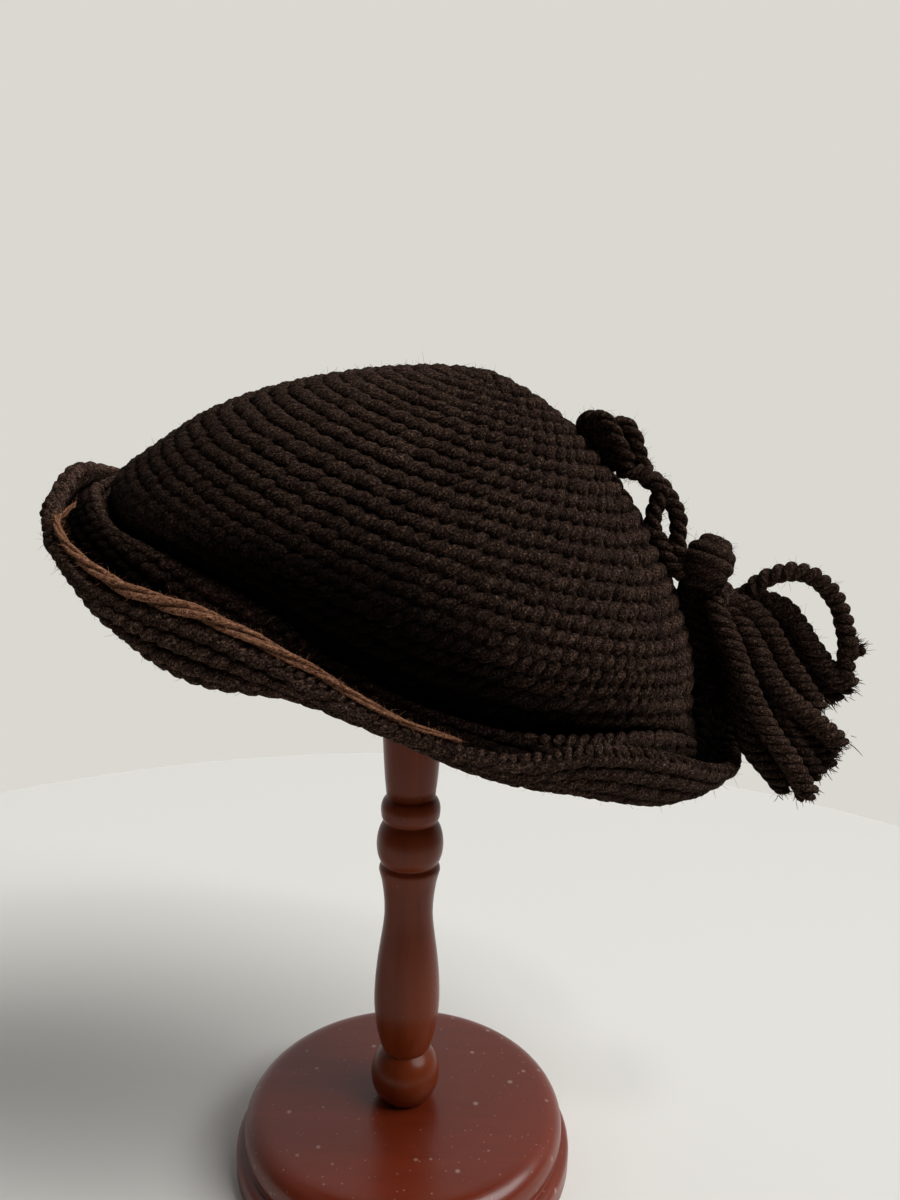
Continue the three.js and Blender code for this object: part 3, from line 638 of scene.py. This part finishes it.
# The brim's skin at u of its cut and v degrees round, both closed, read between the points of a fine grid
def brimSkin(u, v):
    rowAt = np.mod(u, 1) * cutPoints
    columnAt = np.mod(v, 360) / 360 * cutTurns
    row = np.floor(rowAt).astype(int)
    column = np.floor(columnAt).astype(int)
    rowShare = (rowAt - row)[..., None]
    columnShare = (columnAt - column)[..., None]
    cut = 0
    for down, downShare in ((row, 1 - rowShare), (row + 1, rowShare)):
        for on, onShare in ((column, 1 - columnShare), (column + 1, columnShare)):
            cut = cut + brimGrid[down % cutPoints, on % cutTurns] * onShare * downShare
    return roundRim(cut[..., 0], cut[..., 1], v)


crown = {
    "sections": [  # along, shift, rise, halfLength, halfWidth, lean
        (0, 0, 1, 112, 70, 1.5), (0.05, 0, 9.5, 112.5, 76, 2), (0.095, -1, 17.5, 109.5, 80.5, 3),
        (0.19, -1, 30, 101.5, 82, 4), (0.35, -3, 48, 86, 73, 5), (0.52, -4.5, 65, 66, 57, 6),
        (0.71, -6.5, 80.5, 42, 37, 7.5), (0.855, -8, 89, 21.5, 19.5, 8.5), (0.955, -9, 92.5, 7, 6.5, 9),
        (1, -9.5, 93, 0, 0, 9)],
    "rows": 25, "crowding": 1.06, "wall": 6, "rimReach": 0.3, "rimDrop": 4, "pitch": 4.9, "longPitch": 5.8,
    "longBase": 0.2, "longTurn": 0.9, "longAt": 185, "shortRows": (-1,), "shortAt": 0, "shortReach": 0.05,
    "slant": 41, "longSlant": 15, "shape": (0.72, 0.34, 0.62), "least": 2.6, "longHalf": 5.2, "height": 0.46,
    "maxHeight": 2.7, "room": (3.6, 6.8), "proud": 0.5, "swell": 0.6, "fullness": 2.0, "bend": 0.3,
    # painted shade from this line on: the groove entry darkens the gaps between stitches, the fold entries the
    # crown's foot by the brim, the shaded entry the lower left side turned from the light
    "stray": 0.06, "sway": 6, "paintedGrooveShade": (0.75, 0.28), "foldReach": 0.025, "foldSwing": 0.27, "foldAt": 263,
    "closed": [], "shaded": (212, 0.55, 0.75),
    "paintedShadeAndLight": [(0, 0.08), (0.45, 0.1), (0.7, 0.2), (0.95, 0.5), (1.2, 0.8), (1.7, 1.0), (2.2, 1.0)]}


# The crown at a share up its slope and degrees round: leaning ovals, lifted at the rim to the brim's ridge
def crownSkin(along, v, inset=0.0):
    along = np.clip(along, 0, 1)
    turn = np.radians(v)
    shift, rise, halfLength, halfWidth, lean = np.moveaxis(smoothColumns(crown["sections"], along), -1, 0)
    lean = np.radians(lean)
    ridge = smoothColumns(brim["stations"], v, 360)[..., 0]
    rimRise, rimLean = crown["sections"][0][2], math.radians(crown["sections"][0][5])
    lift = ridge - crown["rimDrop"] - rimRise - hat["rimLength"] * np.cos(turn) * math.sin(rimLean)
    fade = np.maximum(1 - along / crown["rimReach"], 0) ** 2
    inward = inset * np.cos(along * math.pi / 2)
    reach = np.maximum(halfLength - inward, 0) * np.cos(turn)
    height = rise - inset * np.sin(along * math.pi / 2) + reach * np.sin(lean) + fade * lift
    local = np.stack([shift + reach * np.cos(lean), np.maximum(halfWidth - inward, 0) * np.sin(turn), height],
                     axis=-1)
    return placed(local)


# Crown: rows of slanted stitches over an inner wall whose inside shows the same rows as ribs; the wall is
# toned dark as painted shade between the stitches, its inside darker still as painted shade under the crown
shortFuzz = {"stand": 0.6, "curl": 0.7, "length": (0.8, 2.3), "thick": (0.04, 0.075), "sunk": 0.4}
rowsAt = ((np.arange(crown["rows"]) + 0.5) / crown["rows"]) ** crown["crowding"]
crownU, crownV = stitchPlaces(crownSkin, rowsAt, crown)
crownStitches = workedStitches(crownSkin, crownU, crownV, 0.5 / crown["rows"], crown, stepU=0.012)
nub = {"at": (0.985, 0.985, 0.99), "turn": (20.0, 150.0, 270.0), "half": (2.6, 1.8, 1.6), "proud": -1.6,
       "rest": (0.5, 0.9, 0.4)}  # rest: bend, tone and shade of the three stitches that close the top
nubAt = np.array(nub["at"])
nubTurn = np.array(nub["turn"])
nubFrame = surfaceFrame(crownSkin, nubAt, nubTurn, stepU=0.01, stepV=8.0)
nubHalf = [np.full(3, half) for half in nub["half"]]
nubRest = [np.full(3, value) for value in nub["rest"]]
nubLumps = stitchLumps(crownSkin(nubAt, nubTurn) + nubFrame[2] * nub["proud"], nubFrame, nubHalf, *nubRest)
makePiece("crown_stitches", ["crown"], [crownStitches, nubLumps])
fuzzLook = {**shortFuzz, "count": 4000}
makePiece("crown_fibres", ["crown"], [stitchFibres(crownSkin, crownU, crownV, 0.012, fuzzLook, crown)])

wall = {"rows": 120, "columns": 160, "outerInset": 1.4, "innerInset": crown["wall"] + 0.5, "ribHeight": 0.7,
        "insidePaintedShade": 0.4, "outsidePaintedShade": 0.6}
wallShare = np.linspace(0, 1, wall["rows"])[:-1]
wallTurn, wallShare = np.meshgrid(np.linspace(0, 360, wall["columns"], endpoint=False), wallShare)
wallAlong = wallShare ** crown["crowding"]
ribs = wall["ribHeight"] * np.abs(np.sin(wallShare * crown["rows"] * math.pi))
outerWall = crownSkin(wallAlong, wallTurn, wall["outerInset"])
innerWall = crownSkin(wallAlong, wallTurn, wall["innerInset"] + ribs)
wallEnds = [crownSkin(np.ones(1), np.zeros(1), wall[side])[0] for side in ("innerInset", "outerInset")]
# painted shade: the wall's outer face is darkened with the fold table, its inner face set darker still
outerPaintedShade = wall["outsidePaintedShade"] * paintedShadeAndLight(wallAlong, wallTurn, crown)
wallPaintedShade = np.concatenate([np.full(outerPaintedShade.size, wall["insidePaintedShade"]), outerPaintedShade.ravel(),
                           [wall["insidePaintedShade"], wall["outsidePaintedShade"]]])
crownWall = skin(np.concatenate([innerWall[::-1], outerWall]), False, wallPaintedShade, wallEnds)
makePiece("crown_wall", ["crown"], [crownWall])

# Brim: the same stitches round both faces of its cut, over a thin inner web toned dark as painted shade
# between the stitches
brimRowsAt = (np.arange(brim["rows"]) + 0.5) / brim["rows"]
brimU, brimV = stitchPlaces(brimSkin, brimRowsAt[:-1], brim)
brimStitches = workedStitches(brimSkin, brimU, brimV, 0.5 / brim["rows"], brim, stepU=0.008)
makePiece("brim_stitches", ["brim"], [brimStitches])
fuzzLook = {**shortFuzz, "count": 3500}
makePiece("brim_fibres", ["brim"], [stitchFibres(brimSkin, brimU, brimV, 0.01, fuzzLook, brim)])

web = {"rows": 100, "columns": 220, "inset": 2.0, "tone": 0.6}
webU = np.linspace(0, 1, web["rows"], endpoint=False)
webV, webU = np.meshgrid(np.linspace(0, 360, web["columns"], endpoint=False), webU)
webOut = surfaceFrame(brimSkin, webU, webV, stepU=0.008, stepV=0.6)[2]
brimWeb = skin(brimSkin(webU, webV) - webOut * web["inset"], True, web["tone"] * paintedShadeAndLight(webU, webV, brim))
makePiece("brim_web", ["brim"], [brimWeb])

# Edging: loose tan strands, hardly twisted, on the near and front edge, fat in the middle, thin at the ends
edging = {
    "stations": [  # turn, out from the rim, rise
        (174, 14.3, -13.5), (186, 13.8, -15.5), (200, 14.5, -11.8), (215, 14.5, -9.8), (232, 15, -5.3),
        (248, 15.5, 3.2), (262, 15.5, 4.5), (275, 16, 1.8), (284, 16.3, 2.9)],
    "radius": 1.95, "girth": [
        (174, 0.8), (180, 0.62), (186, 0.55), (200, 0.62), (215, 0.8), (232, 1.15), (241, 1.35), (248, 1.2),
        (256, 1.0), (264, 0.75), (275, 0.6), (284, 0.35)],
    "points": 260, "lay": 60, "rope": {"tone": 0.85, "guide": (0, 0, 1), "sides": 12, "paintedRopeShade": 0.25},
    "fibres": 1400, "fuzz": {**shortFuzz, "stand": 0.4, "length": (0.7, 1.8), "thick": (0.03, 0.06)}}
edgingTurn = np.linspace(edging["stations"][0][0], edging["stations"][-1][0], edging["points"])
edgingLine = roundRim(*smoothColumns(edging["stations"], edgingTurn).T, edgingTurn)
edgingRadius = edging["radius"] * np.interp(edgingTurn, *np.array(edging["girth"]).T)
edgingRope = laidRope(edgingLine, edgingRadius, edging["lay"], **edging["rope"])
edgingFuzz = ropeFibres(edgingLine, edgingRadius, edging["fibres"], edging["fuzz"])
makePiece("edging_yarn", ["edging"], [edgingRope, edgingFuzz], tanWool)


# A closed ring: centre + radius * (cos a * first + sin a * second), the two directions made unit length
def ringLine(centre, first, second, radius, count):
    turn = np.linspace(0, 2 * math.pi, count, endpoint=False)[:, None]
    first = unit(np.array(first, float))
    second = unit(np.array(second, float))
    return np.array(centre, float) + radius * (np.cos(turn) * first + np.sin(turn) * second)


# A twisted cord and the short fibres that stand off it
def woollyCord(line, radius, lay, fibres, **rope):
    return [laidRope(line, radius, lay, **rope), ropeFibres(line, radius, fibres, shortFuzz)]


# Knot: one thick cord, a round turn and three more passes pulled tight over a core
knot = {
    "ring": {"centre": (60.3, -13, 283.6), "first": (0.93, -0.38, 0), "second": (-0.11, -0.28, 0.92),
             "radius": 2.9, "cord": 3.0},
    "passes": [
        (3.0, [(60.8, -15, 284.5), (61.6, -17.5, 286.1), (63.8, -19, 284.9), (66.3, -19.5, 281.2),
               (68.8, -19, 276.9), (71.1, -18, 273.2), (72.8, -16, 270.7)]),
        (3.1, [(68.7, -12, 282.3), (69.8, -14.5, 284.5), (72.7, -15.5, 282.6), (74.6, -15.5, 279.1),
               (75.9, -15, 275.3), (77.8, -14, 271.5), (78.5, -12, 269.9)]),
        (2.7, [(69.3, -12, 270.3), (71.3, -16, 268.5), (74.7, -17, 268), (78, -16, 268.9),
               (79.5, -12.5, 270.6)])],
    "core": (4.3, [(58, -9.5, 282), (62.5, -11, 279), (67.5, -12, 274.5), (72.5, -12.5, 270.5)]),
    "lay": 15, "fibres": 130}
ring = knot["ring"]
ringPath = ringLine(ring["centre"], ring["first"], ring["second"], ring["radius"], count=60)
ringAxis = np.cross(ring["first"], ring["second"])
knotBlocks = woollyCord(ringPath, ring["cord"], knot["lay"], knot["fibres"], closed=True, guide=ringAxis)
for cord, corners in knot["passes"]:
    line = cordLine(corners, count=60)
    knotBlocks += woollyCord(line, cord, knot["lay"], knot["fibres"], guide=(0.1, 1, 0.2))
coreRadius, corners = knot["core"]
line = cordLine(corners, count=24)
# painted shade: the core, seen only between the passes, is toned darker
knotBlocks.append(laidRope(line, coreRadius, knot["lay"], plies=1, tone=0.5, paintedRopeShade=0.0))
makePiece("knot_cords", ["knot"], knotBlocks)

# Tie: two strands from the knot to the ball
tie = {
    "strands": [
        [(77.7, -14.5, 266.5), (82.2, -15.5, 264.7), (84.4, -15, 262), (83.6, -14.5, 257.7),
         (82.5, -14.5, 253.4), (82.4, -15, 249.2), (84.8, -15, 245.2), (87.5, -15, 240.6),
         (90, -15, 236.2), (94.5, -15, 233)],
        [(77.7, -13, 267.2), (84.1, -12.5, 264.9), (86.5, -13.5, 261.7), (89.4, -13.5, 257.5),
         (91.5, -13.5, 252.5), (91.7, -13.5, 247.2), (91.9, -14, 242.4), (95, -14, 238.5)]],
    "radius": 3.15, "lay": 13, "fibres": 140}
tieBlocks = []
for corners in tie["strands"]:
    tieBlocks += woollyCord(cordLine(corners, count=90), tie["radius"], tie["lay"], tie["fibres"])
makePiece("tie_cords", ["tie"], tieBlocks)


# A round core: radius * (cos p * cos a, cos p * sin a, stretch * sin p) about its centre, closed by two points
def roundCore(centre, radius, stretch, tone, rings=20, sides=32):
    rise = np.linspace(-0.5 * math.pi, 0.5 * math.pi, rings + 2)[1:-1, None]
    turn = np.linspace(0, 2 * math.pi, sides, endpoint=False)
    height = np.broadcast_to(stretch * np.sin(rise), (rings, sides))
    grid = np.stack([np.cos(rise) * np.cos(turn), np.cos(rise) * np.sin(turn), height], axis=-1)
    ends = np.array([[0, 0, -1], [0, 0, 1]]) * radius * stretch + centre
    return skin(grid * radius + centre, False, tone, ends)


# Ball: thick cord wound close over a round core, one more turn across the others
ball = {"centre": (102.6, -14, 237.5), "axis": (0.37, 0.12, 0.92),
        "turns": [(-7, 3.4), (-3.6, 5.9), (0, 6.6), (3.6, 5.9), (7, 3.4)],
        "cord": 2.6, "lay": 14, "core": 8.2, "stretch": 1.05,
        "cross": {"first": (0.85, -0.45, 0.3), "second": (-0.3, -0.25, 0.9), "radius": 6.5, "cord": 2.7},
        "points": 70, "fibres": 110,
        "wound": {"plies": 1, "closed": True, "tone": 0.85, "sides": 14, "paintedRopeShade": 0.0}}
ballAxis = unit(np.array(ball["axis"]))
ballFirst = unit(np.cross(ballAxis, (0.0, 1.0, 0.0)))
ballSecond = np.cross(ballAxis, ballFirst)
ballPlace = np.array(ball["centre"])
# painted shade: the core, seen only between the wound turns, is toned darker
ballBlocks = [roundCore(ballPlace, ball["core"], ball["stretch"], 0.7)]
for rise, radius in ball["turns"]:
    path = ringLine(ballPlace + ballAxis * rise, ballFirst, ballSecond, radius, ball["points"])
    ballBlocks += woollyCord(path, ball["cord"], ball["lay"], ball["fibres"], guide=ballAxis, **ball["wound"])
crossTurn = ball["cross"]
crossAxis = np.cross(crossTurn["first"], crossTurn["second"])
path = ringLine(ballPlace, crossTurn["first"], crossTurn["second"], crossTurn["radius"], ball["points"])
ballBlocks.append(laidRope(path, crossTurn["cord"], ball["lay"], guide=crossAxis, **ball["wound"]))
makePiece("ball_cords", ["ball"], ballBlocks)

# Tassel: thick cords gathered by a wrapped neck under the ball, one thinner loop, cut ends frayed
# painted shade: the front strands are toned 0.8 to 0.85, the strands behind and between them 0.3 to 0.5 where
# the front ones shade them
tassel = {"strands": [  # tone, then the corners of the cord
    (0.85, [(103.9, -17, 225.1), (106.6, -20, 218.1), (111.1, -21.5, 208.7), (115.1, -22, 199.1),
            (120.3, -22, 188.5), (126.3, -22, 178.7), (134, -22, 168.5), (141.5, -21, 156.5)]),
    (0.5, [(105.9, -12, 224.1), (110.8, -14, 208.2), (116, -15.5, 190.4), (120.4, -16.5, 174.2),
           (127.1, -17, 166.1), (135, -17, 157.9)]),
    (0.85, [(107.4, -16, 223.8), (113.3, -18, 218), (120, -18.5, 208.4), (125.1, -18.5, 199.5),
            (132.1, -18, 191.4), (139.9, -17.5, 185.1), (147.7, -17, 178.8), (153.2, -16, 174.2)]),
    (0.5, [(109.8, -11, 223.1), (118.8, -11, 209.7), (126.7, -12, 195.4), (136.5, -13, 181.1),
           (144.3, -13.5, 172.1), (151.8, -13, 166.5)]),
    (0.8, [(107.2, -15, 225), (115.1, -17, 223), (121.5, -17, 218.7), (126.8, -16, 211.7), (132.3, -15, 203.5),
           (138.6, -14, 195.3), (145.4, -13, 186)]),
    (0.85, [(111, -12, 225), (123.2, -11, 224.6), (131.6, -10.5, 221.8), (136.7, -10, 216.4),
            (141.8, -10, 209.2), (146.8, -10, 202.9), (151.8, -10, 197.5), (158.5, -10, 194.6)]),
    (0.5, [(111, -9, 225), (122, -8, 221.5), (130, -7, 217), (136, -6.5, 210.5), (143, -6, 202),
           (150, -6, 194), (155.5, -6, 189)]),
    (0.45, [(110, -11, 222), (119, -14, 205), (129, -16, 187), (138, -16.5, 173), (146, -16, 162.5)]),
    (0.3, [(98.5, -12, 232), (97, -9, 225), (99.5, -6, 214), (103, -4, 201), (107.5, -2, 188)]),
    (0.3, [(104, -11, 229), (104, -6, 220), (107, -3, 209), (111, -1, 197), (116, 0, 184)]),
    (0.4, [(112, -8, 205), (118, -9, 189), (125, -10, 175.5), (131, -10.5, 168), (138, -11, 161)]),
    (0.4, [(120, -8, 207), (128, -9, 196), (136, -10, 185.5), (144, -10, 177), (151, -10.5, 171)])],
    "radius": 3.95, "lay": 16.5, "loopRadius": 3.4, "loopLay": 8.5,
    "loop": [(112, -13, 224), (116.3, -14, 226.2), (119, -15.5, 229.8), (123.3, -16.5, 233.3),
             (131, -16.5, 235.5), (138.4, -16, 234.2), (145.4, -15, 229), (150, -14, 222.8),
             (152.4, -13.5, 216.5), (154.2, -13, 210), (154.6, -12, 203.5), (155, -11, 197.8)],
    "stub": [(154.2, -12.5, 204), (155.5, -12.5, 207.5), (158.8, -12.5, 209.6)],
    "threads": [[(118.8, -16, 172.1), (124.7, -15.5, 166.2), (130.5, -15, 161.5), (135.4, -15, 157.3)],
                [(120.1, -15, 169.1), (124.3, -14.5, 165.9), (130.1, -14, 162), (134.8, -14, 158.9)],
                [(123.4, -18, 199.1), (125.7, -18, 191.6), (129, -18, 183.3), (133.1, -17.5, 174.8)]],
    "threadRadius": 0.8, "neck": [((106, -14, 227.6), 3.6, 2.3), ((107.4, -14, 224.2), 4.4, 2.3)],
    "neckAxis": (0.35, 0, -0.93), "neckLay": 11, "laid": {"plies": 4, "sides": 8, "opened": 0.3},
    "fibres": 160, "cut": 60,
    "cutFuzz": {"stand": 3.2, "curl": 0.3, "length": (1.4, 3.2), "thick": (0.12, 0.26)}}
tasselBlocks = []
for tone, corners in tassel["strands"]:
    line = cordLine(corners, count=110)
    rope = {**tassel["laid"], "tone": tone}
    tasselBlocks += woollyCord(line, tassel["radius"], tassel["lay"], tassel["fibres"], **rope)
    tasselBlocks.append(frayedEnd(line, tassel["radius"], tassel["cut"], tassel["cutFuzz"]))
line = cordLine(tassel["loop"], count=150)
tasselBlocks += woollyCord(line, tassel["loopRadius"], tassel["loopLay"], tassel["fibres"], plies=2)
line = cordLine(tassel["stub"], count=24)
tasselBlocks.append(laidRope(line, tassel["loopRadius"], tassel["loopLay"], plies=2, opened=0.4))
tasselBlocks.append(frayedEnd(line, tassel["loopRadius"], tassel["cut"], tassel["cutFuzz"]))
for corners in tassel["threads"]:
    line = cordLine(corners, count=40)
    tasselBlocks.append(laidRope(line, tassel["threadRadius"], tassel["lay"], plies=1, tone=0.9, sides=6))
neckAxis = unit(np.array(tassel["neckAxis"]))
neckFirst = unit(np.cross(neckAxis, (0.0, 1.0, 0.0)))
for centre, radius, cord in tassel["neck"]:
    path = ringLine(centre, neckFirst, np.cross(neckAxis, neckFirst), radius, count=60)
    tasselBlocks.append(laidRope(path, cord, tassel["neckLay"], closed=True, guide=neckAxis, sides=8))
makePiece("tassel_cords", ["tassel"], tasselBlocks)
print("hat made")

# Stand: turned on a lathe, each stretch of the profile a smooth line on from the edge where the last one ends
stand = {
    "base": [[(0, 0), (30, 0), (63.6, 0)], [(64.7, 0.4), (65, 1.5)], [(65, 6.6)],
             [(64.8, 8), (64, 9.1), (62.6, 9.7), (61.6, 9.9)], [(61.2, 10.4), (61.4, 11)],
             [(61.9, 12.4), (62, 14), (61.8, 16.4), (61, 18.6), (59.4, 20.5), (57, 21.75), (54.5, 22.2),
              (51, 22.3)], [(30, 22.3), (0, 22.3)]],
    "spindle": [[(0, 22.6), (8.9, 22.6)],
                [(10.75, 24.5), (12.23, 27), (13.1, 29.7), (13.4, 32.5), (13.1, 35.3), (12.22, 38),
                 (10.7, 40.6), (8.4, 43)],
                [(9.3, 43.6), (9.9, 45.4), (10.8, 48.4), (11.6, 52), (12.3, 57), (12.7, 62.5), (12.55, 70),
                 (11.9, 78), (11, 85), (10.2, 90.5), (9.5, 96), (9.35, 98.6), (9.45, 103.4), (9.9, 107.6),
                 (10.55, 111.8), (11.3, 114.8), (11.7, 116.4)],
                [(11.6, 117.4), (11.1, 118.4), (10.75, 119)],
                [(11.7, 120.9), (12.4, 123.2), (12.74, 126.7), (12.4, 130.2), (11.5, 133.2), (10.1, 135.7)],
                [(10.9, 137), (11.25, 138.8), (11.3, 141), (10.9, 142.8), (10.2, 144.2), (9.2, 145.2)],
                [(9.55, 148), (9.9, 151), (10.7, 162), (12.5, 200), (12.5, 234), (12.5, 268.3)], [(0, 268.3)]],
    "knob": [[(0, 268.6), (26, 268.6)],
             [(28.4, 269.4), (29.4, 271), (30, 274.6), (28, 283), (22, 290.6), (12, 296), (0, 297.6)]]}


# A turned solid: the profile's (radius, height) pairs swept round the axis, a single point at each end of it
def turned(stretches, sides):
    runs = stretches[:1] + [[before[-1], *after] for before, after in zip(stretches, stretches[1:])]
    parts = [cordLine(run, 6 + 4 * len(run), 12) for run in runs]
    profile = np.concatenate([part[:-1] for part in parts[:-1]] + [parts[-1]])[1:-1]
    turn = np.linspace(0, 2 * math.pi, sides, endpoint=False)
    grid = np.stack([profile[:, :1] * np.cos(turn), profile[:, :1] * np.sin(turn),
                     np.broadcast_to(profile[:, 1:], (len(profile), sides))], axis=-1)
    return skin(grid, False, 1.0, [[0, 0, runs[0][0][1]], [0, 0, runs[-1][-1][1]]])


makePiece("stand_base_turned", ["stand_base"], [turned(stand["base"], sides=96)], baseWood)
for name, profile in (("spindle", "spindle"), ("top", "knob")):
    piece = turned(stand[profile], sides=64)
    makePiece("stand_" + name + "_turned", ["stand_" + name], [piece], spindleWood)
print("stand made")

# Floor: a pale round table top
floorLook = {"radius": 520, "colour": "#e8e6e0", "sides": 96}
floorMaterial = newMaterial("pale_floor", {
    "Roughness": 0.9, "Specular IOR Level": 0.1, "Base Color": colour(floorLook["colour"])})[0]
floorTurn = np.linspace(0, 2 * math.pi, floorLook["sides"], endpoint=False)
floorMesh = bpy.data.meshes.new("floor")
floorPoints = np.stack([np.cos(floorTurn), np.sin(floorTurn), 0 * floorTurn], axis=-1)
floorMesh.from_pydata((floorPoints * floorLook["radius"] * mm).tolist(), [], [list(range(floorLook["sides"]))])
floorMesh.materials.append(floorMaterial)
floor = addObject("floor", floorMesh)

# Lights: a broad soft sun from above and the right, a small lamp, a pale room darker on the viewer's side
studio = {"sunFrom": (0.64, -0.15, 0.755), "sunWidth": 44, "sunPower": 2.8, "room": "#dad8d1",
          "glow": (0.05, 0.68), "lampAt": (0.34, -0.26, 0.9), "lampAim": (0, 0, 0.15), "lampSize": 0.09,
          "lampPower": 0.8}
sun = bpy.data.lights.new("key", "SUN")
sun.energy = studio["sunPower"]
sun.angle = math.radians(studio["sunWidth"])
addObject("key", sun).rotation_euler = mathutils.Vector(studio["sunFrom"]).to_track_quat("Z", "Y").to_euler()
lamp = bpy.data.lights.new("lamp", "AREA")
lamp.size = studio["lampSize"]
lamp.energy = studio["lampPower"]
lampObject = addObject("lamp", lamp)
lampObject.location = studio["lampAt"]
lampRun = mathutils.Vector(studio["lampAim"]) - mathutils.Vector(studio["lampAt"])
lampObject.rotation_euler = lampRun.to_track_quat("-Z", "Y").to_euler()
world = bpy.data.worlds.new("studio")
world.use_nodes = True
room = world.node_tree
backdrop = room.nodes["Background"]
backdrop.inputs["Color"].default_value = colour(studio["room"])
heading = addNode(room, "TexCoord", out="Generated")
northing = addNode(room, "SeparateXYZ", {"Vector": heading}, "Y")
glow = addNode(room, "MapRange", {"Value": northing, "From Min": -0.2, "From Max": 0.7,
                                  "To Min": studio["glow"][0], "To Max": studio["glow"][1]})
roomLight = addNode(room, "Background", {"Strength": glow})
seen = addNode(room, "LightPath", out="Is Camera Ray")
both = addNode(room, "MixShader", {0: seen, 1: roomLight, 2: backdrop.outputs[0]})
room.links.new(both, room.nodes["World Output"].inputs["Surface"])
bpy.context.scene.world = world
bpy.context.scene.view_settings.view_transform = "Standard"

# Camera at the photograph's place: pitched down and rolled slightly, 900 pixels of focal length
view = {"place": (0.0128, -0.328, 0.264), "pitch": 7.6, "roll": 1.5, "lens": 27.0}
pitch = math.radians(view["pitch"])
roll = math.radians(view["roll"])
forward = mathutils.Vector((0, math.cos(pitch), -math.sin(pitch)))
upright = mathutils.Vector((0, math.sin(pitch), math.cos(pitch)))
right = math.cos(roll) * mathutils.Vector((1, 0, 0)) + math.sin(roll) * upright
above = right.cross(forward)
cameraData = bpy.data.cameras.new("camera")
cameraData.lens = view["lens"]
cameraData.sensor_width = 36.0
cameraData.clip_start = 0.01
camera = addObject("camera", cameraData)
turnedAxes = mathutils.Matrix((right, above, -forward)).transposed()
camera.matrix_world = mathutils.Matrix.Translation(view["place"]) @ turnedAxes.to_4x4()
bpy.context.scene.camera = camera

bpy.context.view_layer.update()
print("scene done")
